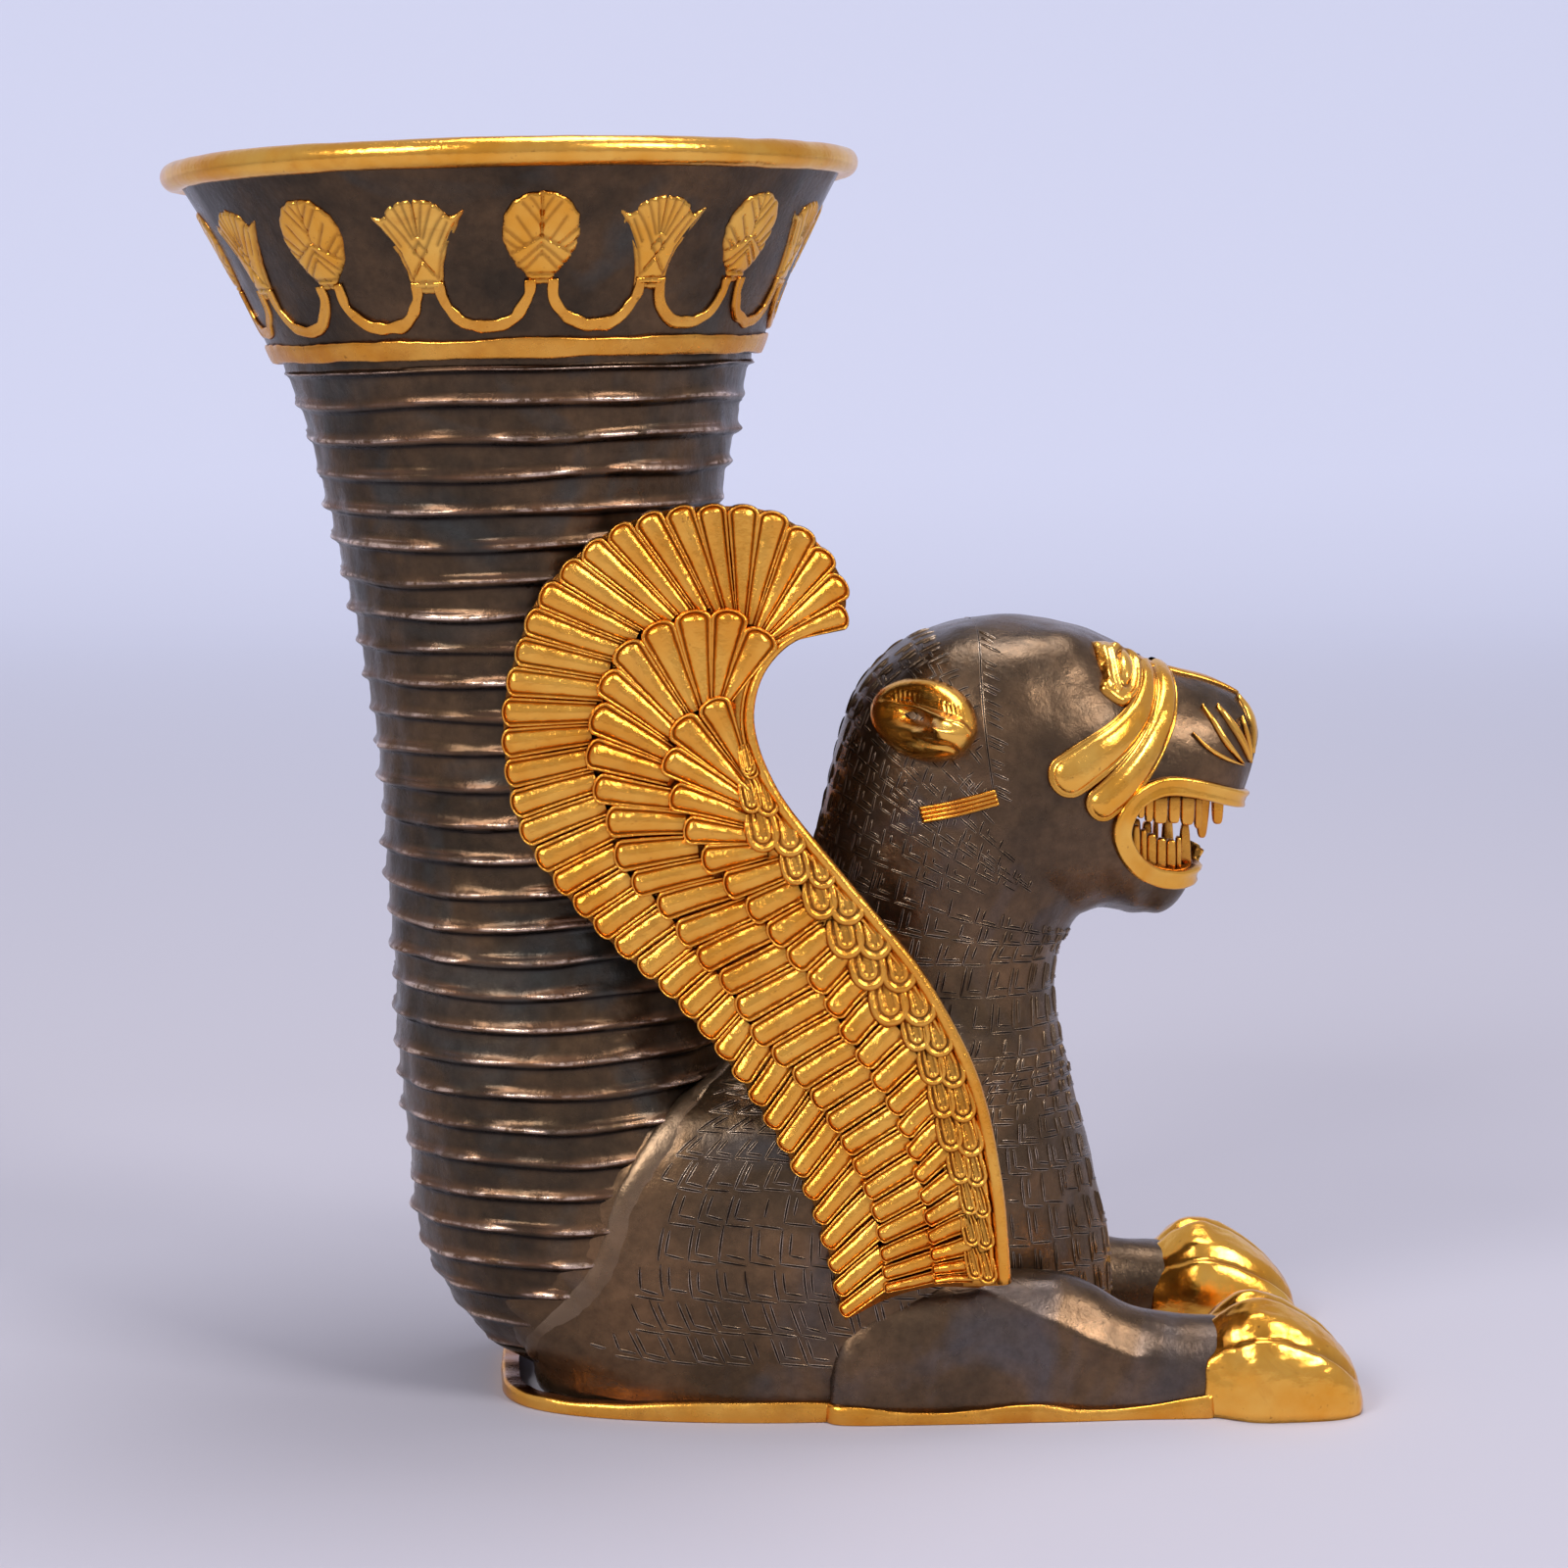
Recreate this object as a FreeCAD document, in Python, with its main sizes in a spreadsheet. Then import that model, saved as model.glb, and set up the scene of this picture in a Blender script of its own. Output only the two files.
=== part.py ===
import FreeCAD, Part
import math
import os

# Animal-shaped cup: a fluted horn of oxidised silver with a gilt lotus collar rises from the
# forepart of a crouching winged lion. All sizes are in millimetres.
# +X is the way the lion looks, -Y its right side, +Z up. The origin lies on the table,
# midway between the back of the mouth rim and the tips of the paws.

App = FreeCAD
os.makedirs("parts", exist_ok=True)
doc = App.newDocument("animal_cup")

# Driving sizes
DRIVING_SIZES = {
    "joint_setback": 43.5,       # from the origin back to the middle of the joint
    "heel_height": 2.0,          # from the table to the heel of the horn
    "joint_radius": 42.2,
    "crown_tilt": 1.4,           # degrees, the front of the mouth stands higher
    "sheet_wall": 1.2,           # thickness of the silver sheet
    "seat_gap": 0.1,             # room for solder between two sheets

    "horn_length": 182.0,        # from the joint down to the heel
    "flute_count": 30,
    "flute_start": 2.4,          # first lip below the joint
    "flute_end": 7.05,           # last lip above the heel
    "flute_depth": 0.8,

    "collar_rise": 31.8,         # from the joint up to the middle of the rim bead
    "collar_flare": 15.62,        # how much wider the collar is at the bead
    "bead_radius": 2.35,
    "bead_offset": 0.25,         # middle of the bead outside the sheet
    "bead_corners": 6,
    "band_height": 3.2,
    "band_drop": 0.4,
    "band_lift": 0.9,

    "lotus_count": 16,           # flowers and buds together
    "lotus_base": 11.4,          # foot of the motifs above the joint
    "lotus_height": 13.8,
    "flower_width": 15.6,
    "bud_width": 12.8,
    "lotus_lift": 0.9,
    "lotus_turn": 5.2,           # degrees from the near side to the first bud
    "swag_dip": 6.4,
    "swag_width": 2.0,

    "plate_thickness": 1.2,
    "base_band_height": 4.4,
    "base_band_lift": 0.9,
    "haunch_back": 42.4,         # from the origin back to the end of the base
    "chest_front": 63.5,
    "flank_half_width": 35.2,
    "nape_height": 87.0,         # joint of neck and head at the back
    "throat_height": 80.5,
    "nape_front": 7.0,
    "throat_front": 54.1,
    "neck_half_width": 23.2,

    "head_top": 137.8,
    "head_half_width": 24.5,
    "nose_front": 89.2,
    "mouth_gape": 12.2,          # between the jaws
    "mouth_depth": 26.8,         # from the tip of the nose back to the corner of the mouth
    "lip_width": 3.3,
    "lip_lift": 1.3,
    "fold_lift": 1.6,
    "eye_lift": 1.1,
    "brow_spread": 6.5,          # from the middle plane to the inner corner of an eye
    "bridge_half_width": 3.4,
    "bridge_gap": 0.4,           # between the nose bridge and the folds beside it
    "trim_lift": 0.8,
    "trim_gap": 0.1,             # between the lips and the trims beside them
    "tooth_gap": 0.3,
    "tooth_inset": 0.5,
    "tooth_thickness": 2.0,

    "ear_length": 17.4,
    "ear_height": 14.0,
    "ear_front": 26.2,
    "ear_level": 121.0,
    "ear_reach": 28.6,           # from the middle plane to the outside of the ear
    "bar_length": 12.8,
    "bar_height": 3.0,
    "bar_front": 25.2,
    "bar_level": 104.2,
    "bar_reach": 25.6,
    "bar_slope": 11.0,           # degrees

    "leg_spread": 26.0,          # from the middle plane to the middle of a foreleg
    "leg_half_width": 9.1,
    "leg_height": 25.0,
    "elbow_front": 9.0,
    "wrist_front": 76.0,
    "paw_front": 104.7,
    "paw_half_width": 14.0,
    "paw_height": 20.8,
    "toe_ripple": 0.9,

    "wing_back": 47.0,           # from the origin back to the wing's rear edge
    "wing_reach": 87.0,
    "wing_foot": 18.6,
    "wing_rise": 141.0,
    "wing_gap": 0.1,             # between the horn and the inner face of a wing
    "wing_sheet": 1.3,
    "wing_rim_width": 2.0,
    "wing_rim_lift": 2.9,
    "left_wing_lean": 3.5,       # degrees, the far wing stands a little further back
    "primary_count": 42,
    "secondary_count": 30,
    "tertiary_count": 25,
    "primary_lift": 1.0,
    "secondary_lift": 1.5,
    "tertiary_lift": 2.0,
    "covert_lift": 2.4,
    "feather_gap": 0.45,
    "feather_nose": 0.9,
}
sheet = doc.addObject("Spreadsheet::Sheet", "sizes")
for row, (size_name, size_value) in enumerate(DRIVING_SIZES.items(), start=1):
    sheet.set(f"A{row}", size_name)
    sheet.set(f"B{row}", str(size_value))
    sheet.setAlias(f"B{row}", size_name)
doc.recompute()

CROWN_CORNERS = 24               # corners of one ring of the horn and the collar
BODY_CORNERS = 20                # corners of one hammered ring of the animal's body
FLAT_SHARE = 1e-6                # four corners that lie this close to a plane take one face
UP = App.Vector(0, 0, 1)
SIDE = App.Vector(0, 1, 0)
sub_parts = []


def keep(name, shape, place=None):
    """Adds a finished piece to the document under its own label."""
    piece = doc.addObject("Part::Feature", name)
    piece.Shape = shape
    piece.Placement = place if place else App.Placement()
    piece.Label = name
    sub_parts.append(piece)
    return piece


def share_at(table, position):
    """Reads a table of shares between its rows; the first column is the position."""
    rows = sorted(table)
    if position <= rows[0][0]:
        return rows[0][1:]
    for low, high in zip(rows, rows[1:]):
        if position <= high[0]:
            part = (position - low[0]) / (high[0] - low[0])
            return tuple(a + (b - a) * part for a, b in zip(low[1:], high[1:]))
    return rows[-1][1:]


def oval(back, front, half_width, back_fullness, front_fullness, pinch=0.0):
    """Closed ring across the middle plane, from a back point to a front point and round."""
    points = []
    for step in range(BODY_CORNERS):
        turn = 2 * math.pi * step / BODY_CORNERS
        along = (1 - math.cos(turn)) / 2
        fullness = back_fullness + (front_fullness - back_fullness) * along
        narrowing = 1 - pinch * max(0, 2 * along - 1) ** 2
        reach = half_width * abs(math.sin(turn)) ** fullness * narrowing
        middle = back + (front - back) * along
        side = 0.0 if step in (0, BODY_CORNERS // 2) else math.copysign(reach, math.sin(turn))
        points.append(App.Vector(middle.x, side, middle.z))
    return points


def closed(points):
    """Flat face inside a ring of points."""
    return Part.Face(Part.makePolygon(points + points[:1]))


def skin(rings):
    """Solid that runs through rings with the same number of points."""
    flat_limit = sheet.sheet_wall ** 3 * FLAT_SHARE
    faces = [closed(rings[0]), closed(rings[-1])]
    count = len(rings[0])
    for low, high in zip(rings, rings[1:]):
        for step in range(count):
            after = (step + 1) % count
            a, b, c, d = low[step], low[after], high[after], high[step]
            twist = abs((b - a).cross(c - a).dot(d - a))
            if twist < flat_limit:
                faces.append(closed([a, b, c, d]))
            elif step < count / 2:
                faces += [closed([a, b, c]), closed([a, c, d])]
            else:
                faces += [closed([a, b, d]), closed([b, c, d])]
    return Part.Solid(Part.Shell(faces))


def side_prism(points, start, end):
    """Prism along Y over an outline given as (x, z) pairs."""
    outline = [App.Vector(x, start, z) for x, z in points]
    return closed(outline).extrude(App.Vector(0, end - start, 0))


def ribbon(points, width):
    """Outline of a strip that runs along (x, z) points, its width to the right of the way."""
    inner = []
    for step, (x, z) in enumerate(points):
        before = points[max(step - 1, 0)]
        after = points[min(step + 1, len(points) - 1)]
        run = math.hypot(after[0] - before[0], after[1] - before[1])
        inner.append((x + width * (after[1] - before[1]) / run,
                      z - width * (after[0] - before[0]) / run))
    return points + inner[::-1]


def walk(points, fraction):
    """Point at a fraction of the length of a line of (x, z) points."""
    runs = [math.dist(a, b) for a, b in zip(points, points[1:])]
    left = fraction * sum(runs)
    for (start, end), run in zip(zip(points, points[1:]), runs):
        if left <= run:
            part = left / run
            return (start[0] + (end[0] - start[0]) * part, start[1] + (end[1] - start[1]) * part)
        left -= run
    return points[-1]


# Horn and collar, raised from one sheet. Their own frame stands at the joint, tilted a little.
joint_height = sheet.heel_height + sheet.horn_length
crown_place = App.Placement(App.Vector(-sheet.joint_setback, 0, joint_height),
                            App.Rotation(SIDE, -sheet.crown_tilt))


def on_crown(up):
    """Place on the axis of the crown at a height above the joint."""
    return crown_place.multiply(App.Placement(App.Vector(0, 0, up), App.Rotation()))


# height above the heel, drift of the axis to the front, radius
HORN_SHARES = (
    (0.000, 0.190, 0.240), (0.032, 0.192, 0.450), (0.062, 0.179, 0.570), (0.092, 0.168, 0.640),
    (0.122, 0.155, 0.684), (0.153, 0.148, 0.716), (0.213, 0.139, 0.730), (0.331, 0.096, 0.723),
    (0.420, 0.066, 0.696), (0.508, 0.040, 0.684), (0.593, 0.032, 0.686), (0.681, 0.020, 0.708),
    (0.766, 0.012, 0.755), (0.824, 0.010, 0.804), (0.881, 0.009, 0.857), (0.937, 0.012, 0.915),
    (0.967, 0.004, 0.950), (1.000, 0.000, 0.995),
)
# heights above the heel where the inner face of the sheet bends
INNER_SHARES = (1.0, 0.881, 0.766, 0.681, 0.593, 0.508, 0.331, 0.213, 0.122, 0.062)
# height above the joint, flare
COLLAR_SHARES = ((0.0, 0.0), (0.30, 0.26), (0.61, 0.56), (1.0, 1.0))


def crown_ring(level, radius, drift=0.0):
    """Ring of corners round the axis of the crown."""
    turns = [2 * math.pi * step / CROWN_CORNERS for step in range(CROWN_CORNERS)]
    return [App.Vector(drift + radius * math.cos(turn), radius * math.sin(turn), level) for turn in turns]


def horn_ring(level, inset):
    """Ring of the horn at a height above its heel, set in from the lips of the flutes."""
    drift, radius = share_at(HORN_SHARES, level / sheet.horn_length)
    return crown_ring(level - sheet.horn_length, radius * sheet.joint_radius - inset,
                      drift * sheet.joint_radius)


def collar_rings(inset):
    """Rings of the collar from the joint up, set in from its outer face."""
    return [crown_ring(up * sheet.collar_rise, sheet.joint_radius + flare * sheet.collar_flare - inset)
            for up, flare in COLLAR_SHARES]


# Every flute flares down to a lip, and the next one starts a step further in
flute_pitch = (sheet.horn_length - sheet.flute_start - sheet.flute_end) / (sheet.flute_count - 1)
horn_rings = [horn_ring(0.0, 0.0)]
for step in range(int(sheet.flute_count)):
    lip_level = sheet.flute_end + step * flute_pitch
    horn_rings += [horn_ring(lip_level, sheet.flute_depth), horn_ring(lip_level, 0.0)]
horn_rings.append(horn_ring(sheet.horn_length, sheet.flute_depth))
inner_inset = sheet.flute_depth + sheet.sheet_wall
horn_rings += collar_rings(0.0) + collar_rings(sheet.sheet_wall)[::-1]
horn_rings += [horn_ring(share * sheet.horn_length, inner_inset) for share in INNER_SHARES]
horn = keep("horn_beaker", skin(horn_rings), crown_place)

# Smooth outside of the horn, which the lion's back is cut to
ENVELOPE_SHARES = (0.0, 0.032, 0.062, 0.092, 0.122, 0.153, 0.213, 0.331, 0.420, 0.508)
horn_envelope = skin([horn_ring(share * sheet.horn_length, -sheet.seat_gap) for share in ENVELOPE_SHARES])
horn_envelope.Placement = crown_place


# Rim bead: gilt wire rolled over the edge of the mouth
bead_path = doc.addObject("Part::RegularPolygon", "bead_path")
bead_path.Polygon = CROWN_CORNERS
bead_path.setExpression("Circumradius", "sizes.joint_radius + sizes.collar_flare + sizes.bead_offset")
bead_section = doc.addObject("Part::RegularPolygon", "bead_section")
bead_section.setExpression("Polygon", "sizes.bead_corners")
bead_section.setExpression("Circumradius", "sizes.bead_radius")
bead_section.Placement.Rotation = App.Rotation(App.Vector(1, 0, 0), 90)
bead_section.setExpression("Placement.Base.x",
                           "sizes.joint_radius + sizes.collar_flare + sizes.bead_offset")
bead_wire = doc.addObject("Part::Sweep", "bead_wire")
bead_wire.Sections = [bead_section]
bead_wire.Spine = (bead_path, [f"Edge{edge + 1}" for edge in range(CROWN_CORNERS)])
bead_wire.Solid = True
bead_wire.Transition = "Right corner"
bead_wire.Placement = on_crown(sheet.collar_rise)
rim_bead = doc.addObject("Part::Cut", "rim_bead")
rim_bead.Base = bead_wire
rim_bead.Tool = horn
sub_parts.append(rim_bead)


# Gilt band soldered over the joint of horn and collar
collar_core = doc.addObject("Part::Feature", "collar_core")
collar_core.Shape = skin([crown_ring(-sheet.band_drop, sheet.joint_radius)] + collar_rings(0.0))
collar_core.Placement = crown_place
band_block = doc.addObject("Part::Prism", "band_block")
band_block.Polygon = CROWN_CORNERS
band_block.setExpression("Circumradius", "sizes.joint_radius + sizes.band_lift")
band_block.setExpression("Height", "sizes.band_height")
band_block.Placement = on_crown(-sheet.band_drop)
collar_band = doc.addObject("Part::Cut", "collar_band")
collar_band.Base = band_block
collar_band.Tool = collar_core
sub_parts.append(collar_band)
doc.recompute()


# Lotus frieze: flowers and buds by turns, and the garland that ties their feet together
# half width, height
FLOWER_SHARES = ((0.36, 0.00), (0.36, 0.10), (0.58, 0.24), (0.62, 0.60), (1.00, 0.92), (0.62, 0.90),
                 (0.36, 1.00))
BUD_SHARES = ((0.34, 0.00), (0.36, 0.10), (0.92, 0.32), (1.00, 0.58), (0.70, 0.90), (0.10, 1.02))
# half distance between motifs, depth below their feet
SWAG_SHARES = ((-0.80, 0.03), (-0.56, 0.78), (0.00, 1.05), (0.56, 0.78), (0.80, 0.03))
foot_flare = share_at(COLLAR_SHARES, sheet.lotus_base / sheet.collar_rise)[0] * sheet.collar_flare
lotus_sheet = skin(collar_rings(-sheet.lotus_lift)).cut(skin(collar_rings(0.0)))
lotus_pitch = 360 / sheet.lotus_count


def on_collar(outline, turn):
    """Gilt sheet cut to an outline of (across, up) pairs and laid on the collar at a turn."""
    foot = [App.Vector(across, 0, up) for across, up in outline]
    block = closed(foot).extrude(App.Vector(0, -(sheet.joint_radius + sheet.collar_flare) * 2, 0))
    block.rotate(App.Vector(0, 0, 0), UP, turn)
    return lotus_sheet.common(block)


def motif(shares, width):
    """Outline of a flower or bud, one half mirrored to the other."""
    half = [(across * width / 2, sheet.lotus_base + up * sheet.lotus_height) for across, up in shares]
    return half + [(-across, up) for across, up in half[::-1]]


swag_reach = (sheet.joint_radius + foot_flare) * math.sin(math.radians(lotus_pitch / 2))
swag_line = [(across * swag_reach, sheet.lotus_base - down * sheet.swag_dip)
             for across, down in SWAG_SHARES]
bud_turns = [sheet.lotus_turn + 2 * step * lotus_pitch for step in range(int(sheet.lotus_count) // 2)]
flowers = [on_collar(motif(FLOWER_SHARES, sheet.flower_width), turn + lotus_pitch) for turn in bud_turns]
buds = [on_collar(motif(BUD_SHARES, sheet.bud_width), turn) for turn in bud_turns]
swags = [on_collar(ribbon(swag_line, sheet.swag_width), turn + lotus_pitch * (side + 0.5))
         for turn in bud_turns for side in (0, 1)]
keep("lotus_flowers", Part.makeCompound(flowers), crown_place)
keep("lotus_buds", Part.makeCompound(buds), crown_place)
keep("lotus_garland", Part.makeCompound(swags), crown_place)


# Body of the lion: haunch, flanks, chest and neck, hammered from one sheet
# back x, height, front x, half width, fullness at the back, fullness at the front, pinch
TRUNK_SHARES = (
    (-0.057, 0.138, 1.001, 0.918, 0.50, 0.75, 0.40),
    (-0.119, 0.299, 0.989, 0.955, 0.50, 0.75, 0.36),
    (-0.077, 0.460, 0.958, 0.955, 0.50, 0.75, 0.30),
    (0.025, 0.575, 0.931, 0.900, 0.50, 0.75, 0.22),
    (0.174, 0.649, 0.916, 0.824, 0.50, 0.78, 0.15),
    (0.307, 0.687, 0.908, 0.781, 0.52, 0.80, 0.10),
    (0.386, 0.736, 0.901, 0.739, 0.65, 0.85, 0.06),
    (0.432, 0.828, 0.893, 0.696, 0.80, 0.90, 0.03),
    (0.455, 0.920, 0.899, 0.671, 0.90, 0.95, 0.01),
)
BASE_WIDTH_SHARE = 0.89
BASE_FULLNESS_SHARES = (0.50, 0.75, 0.40)
base_length = sheet.haunch_back + sheet.chest_front


def base_ring(height, grow):
    """Outline of the body where it meets the base, grown outward."""
    return oval(App.Vector(-sheet.haunch_back - grow, 0, height),
                App.Vector(sheet.chest_front + grow, 0, height),
                sheet.flank_half_width * BASE_WIDTH_SHARE + grow, *BASE_FULLNESS_SHARES)


def neck_ring(grow=0.0):
    """Joint of neck and head."""
    return oval(App.Vector(sheet.nape_front - grow, 0, sheet.nape_height),
                App.Vector(sheet.throat_front + grow, 0, sheet.throat_height),
                sheet.neck_half_width + grow, 1.0, 1.0)


trunk_rings = [base_ring(sheet.plate_thickness, 0.0), base_ring(sheet.base_band_height, 0.0)]
for back, level, front, width, back_full, front_full, pinch in TRUNK_SHARES:
    level *= sheet.nape_height
    trunk_rings.append(oval(App.Vector(back * base_length - sheet.haunch_back, 0, level),
                            App.Vector(front * base_length - sheet.haunch_back, 0, level),
                            width * sheet.flank_half_width, back_full, front_full, pinch))
trunk_rings.append(neck_ring())
trunk_block = skin(trunk_rings)
trunk_wall = trunk_block.cut(horn_envelope)


# Head with its open mouth
# top x, top height, bottom x, bottom height, half width, fullness
HEAD_SHARES = (
    (0.043, 0.414, 0.586, 0.037, 0.960, 0.95), (0.075, 0.602, 0.595, 0.056, 0.980, 0.90),
    (0.119, 0.782, 0.602, 0.066, 0.985, 0.85), (0.195, 0.899, 0.611, 0.073, 1.000, 0.80),
    (0.313, 0.979, 0.627, 0.082, 1.000, 0.76), (0.448, 1.000, 0.651, 0.087, 0.980, 0.74),
    (0.560, 0.983, 0.687, 0.079, 0.930, 0.72), (0.664, 0.925, 0.724, 0.068, 0.850, 0.72),
    (0.740, 0.862, 0.766, 0.068, 0.755, 0.74), (0.816, 0.825, 0.809, 0.072, 0.686, 0.74),
    (0.904, 0.784, 0.850, 0.106, 0.592, 0.76), (0.959, 0.736, 0.875, 0.154, 0.469, 0.80),
    (0.998, 0.646, 0.895, 0.227, 0.286, 0.90),
)
head_length = sheet.nose_front - sheet.nape_front
head_height = sheet.head_top - sheet.throat_height


def head_point(along, up):
    """Point of the middle plane from shares of the head's length and height."""
    return App.Vector(sheet.nape_front + along * head_length, 0, sheet.throat_height + up * head_height)


def head_block(grow):
    """Head and muzzle, closed, with its surface grown outward."""
    rings = [neck_ring(grow)]
    for top_along, top_up, low_along, low_up, width, fullness in HEAD_SHARES:
        top = head_point(top_along, top_up)
        low = head_point(low_along, low_up)
        reach = (top - low).normalize() * grow
        rings.append(oval(top + reach, low - reach, width * sheet.head_half_width + grow,
                          fullness, fullness))
    return skin(rings)


# Mouth opening, corner round, open to the front: along from the corner, up from the floor
MOUTH_SHARES = ((0.85, 0.00), (0.24, 0.00), (0.05, 0.20), (0.00, 0.62), (0.12, 1.00),
                (0.28, 1.07), (0.50, 0.99), (0.85, 0.94))
LIP_TURN_SHARE = 0.4             # forward of this the lips run straight
JAW_MIDDLE_SHARES = (1 / 3, 1 / 2)
MOUTH_LEVEL_SHARE = 0.349        # middle of the mouth, of the head's height
mouth_corner = sheet.nose_front - sheet.mouth_depth
mouth_floor = head_point(0, MOUTH_LEVEL_SHARE).z - sheet.mouth_gape / 2
mouth_roof = mouth_floor + sheet.mouth_gape


def mouth_point(along, up):
    """Point of the mouth as an (x, z) pair from shares of its depth and gape."""
    return (mouth_corner + along * sheet.mouth_depth, mouth_floor + up * sheet.mouth_gape)


def mouth_line(grow):
    """Edge of the mouth as (x, z) pairs, moved outward by a width."""
    middle = mouth_point(*JAW_MIDDLE_SHARES)
    line = []
    for along, up in MOUTH_SHARES:
        x, z = mouth_point(along, up)
        if along > LIP_TURN_SHARE:
            line.append((x, z + math.copysign(grow, z - middle[1])))
        else:
            run = math.dist((x, z), middle)
            line.append((x + (x - middle[0]) * grow / run, z + (z - middle[1]) * grow / run))
    return line


def mouth_block(grow):
    """Prism across the head inside the edge of the mouth, moved outward by a width."""
    line = mouth_line(grow)
    end = sheet.nose_front + sheet.mouth_gape
    return side_prism([(end, line[0][1])] + line + [(end, line[-1][1])],
                      -sheet.flank_half_width, sheet.flank_half_width)


head_outside = head_block(0.0)
mouth_cut = mouth_block(0.0)
head_shape = head_outside.cut(mouth_cut)
head = keep("head_shell", head_shape)


def relief(outline, lift, side, spread=0.0):
    """Gilt sheet over an outline of (x, z) pairs, on one side of the head from a spread outward,
    or for side zero across the middle plane as far as the spread, all of it for none."""
    reach = sheet.flank_half_width
    start, end = (side * spread, side * reach) if side else (-(spread or reach), spread or reach)
    block = side_prism(outline, start, end)
    return head_block(lift).common(block).cut(head_outside)


lip_outline = mouth_line(0.0) + mouth_line(sheet.lip_width)[::-1]
lips_room = mouth_block(sheet.lip_width + sheet.trim_gap)
keep("lip_band", relief(lip_outline, sheet.lip_lift, 0))

# Folds of the snarling muzzle, one lobe above the other
UPPER_FOLD_SHARES = ((0.700, 0.905), (0.762, 0.850), (0.715, 0.720), (0.665, 0.610), (0.560, 0.462),
                     (0.515, 0.480), (0.498, 0.555), (0.522, 0.615), (0.600, 0.670), (0.668, 0.765))
LOWER_FOLD_SHARES = ((0.772, 0.835), (0.760, 0.700), (0.700, 0.525), (0.630, 0.402), (0.592, 0.400),
                     (0.575, 0.455), (0.622, 0.530), (0.676, 0.608), (0.727, 0.720))
EYE_SHARES = ((0.610, 0.937), (0.645, 0.935), (0.689, 0.897), (0.707, 0.840), (0.689, 0.785),
              (0.657, 0.764), (0.625, 0.785), (0.608, 0.860))
WHISKER_SHARES = (
    ((0.849, 0.728), (0.893, 0.613), (0.925, 0.545), (0.862, 0.665)),
    ((0.883, 0.735), (0.925, 0.625), (0.945, 0.560), (0.894, 0.690)),
    ((0.830, 0.613), (0.868, 0.580), (0.918, 0.548), (0.866, 0.592)),
    ((0.922, 0.757), (0.965, 0.640), (0.952, 0.552), (0.935, 0.700)),
)
BRIDGE_SHARES = ((0.750, 0.960), (0.985, 0.960), (0.985, 0.752), (0.850, 0.775), (0.750, 0.815))


def head_pairs(shares):
    """Outline on the head as (x, z) pairs."""
    return [(point.x, point.z) for point in (head_point(*pair) for pair in shares)]


for side, side_name in ((-1, "right"), (1, "left")):
    folds = [relief(head_pairs(shares), sheet.fold_lift, side, sheet.bridge_half_width + sheet.bridge_gap)
             for shares in (UPPER_FOLD_SHARES, LOWER_FOLD_SHARES)]
    eye = relief(head_pairs(EYE_SHARES), sheet.eye_lift, side, sheet.brow_spread)
    keep("muzzle_folds_" + side_name, folds[0].fuse(folds[1]).cut(lips_room))
    keep("eye_" + side_name, eye.cut(folds[0]))
    whiskers = [relief(head_pairs(shares), sheet.trim_lift, side,
                       sheet.bridge_half_width + sheet.bridge_gap) for shares in WHISKER_SHARES]
    keep("whiskers_" + side_name, Part.makeCompound([strip.cut(lips_room) for strip in whiskers]))
keep("nose_bridge", relief(head_pairs(BRIDGE_SHARES), sheet.trim_lift, 0, sheet.bridge_half_width))

# Teeth: upper and lower rows inside the lips, with a fang at the front of each
# start along the mouth, end, depth of the tips below the roof or above the floor
UPPER_TOOTH_SHARES = ((0.07, 0.16, 0.62), (0.16, 0.25, 0.42), (0.25, 0.33, 0.38), (0.33, 0.41, 0.38),
                      (0.41, 0.48, 0.38), (0.48, 0.62, 0.72), (0.62, 0.85, 0.30))
LOWER_TOOTH_SHARES = ((0.07, 0.15, 0.30), (0.15, 0.23, 0.42), (0.23, 0.31, 0.46), (0.31, 0.38, 0.46),
                      (0.38, 0.50, 0.66))
TOOTH_TAPER_SHARE = 0.2
TOOTH_ROOT_SHARE = 0.1           # how far the upper roots reach into the jaw


def cheek_at(x, z):
    """Distance from the middle plane to the outside of the head, none ahead of the muzzle."""
    across = Part.makeLine(App.Vector(x, 0, z), App.Vector(x, sheet.flank_half_width, z))
    return [edge.BoundBox.YMax for edge in head_outside.common(across).Edges]


def tooth_row(shares, root, way):
    """Teeth that stand on a root level and point up or down, the same on both sides."""
    teeth = []
    for start, end, length in shares:
        left = mouth_point(start, 0)[0] + sheet.tooth_gap / 2
        right = mouth_point(end, 0)[0] - sheet.tooth_gap / 2
        tip = root + way * length * sheet.mouth_gape
        taper = (right - left) * TOOTH_TAPER_SHARE
        outline = [(left, root), (right, root), (right - taper, tip), (left + taper, tip)]
        outside = min(reach for x, z in outline for reach in cheek_at(x, z)) - sheet.tooth_inset
        for side in (-1, 1):
            block = side_prism(outline, side * (outside - sheet.tooth_thickness), side * outside)
            teeth.append(block.common(mouth_cut))
    return Part.makeCompound([solid for tooth in teeth for solid in tooth.Solids])


upper_root = mouth_roof + sheet.mouth_gape * TOOTH_ROOT_SHARE
keep("upper_teeth", tooth_row(UPPER_TOOTH_SHARES, upper_root, -1))
keep("lower_teeth", tooth_row(LOWER_TOOTH_SHARES, mouth_floor, 1))

# Ears: cupped gilt shells, round in front; length share, height share at each reach
EAR_SHARES = ((0.66, 1.00), (0.90, 0.97), (0.97, 0.76), (1.00, 0.40))
ear_corners = 12


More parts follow.
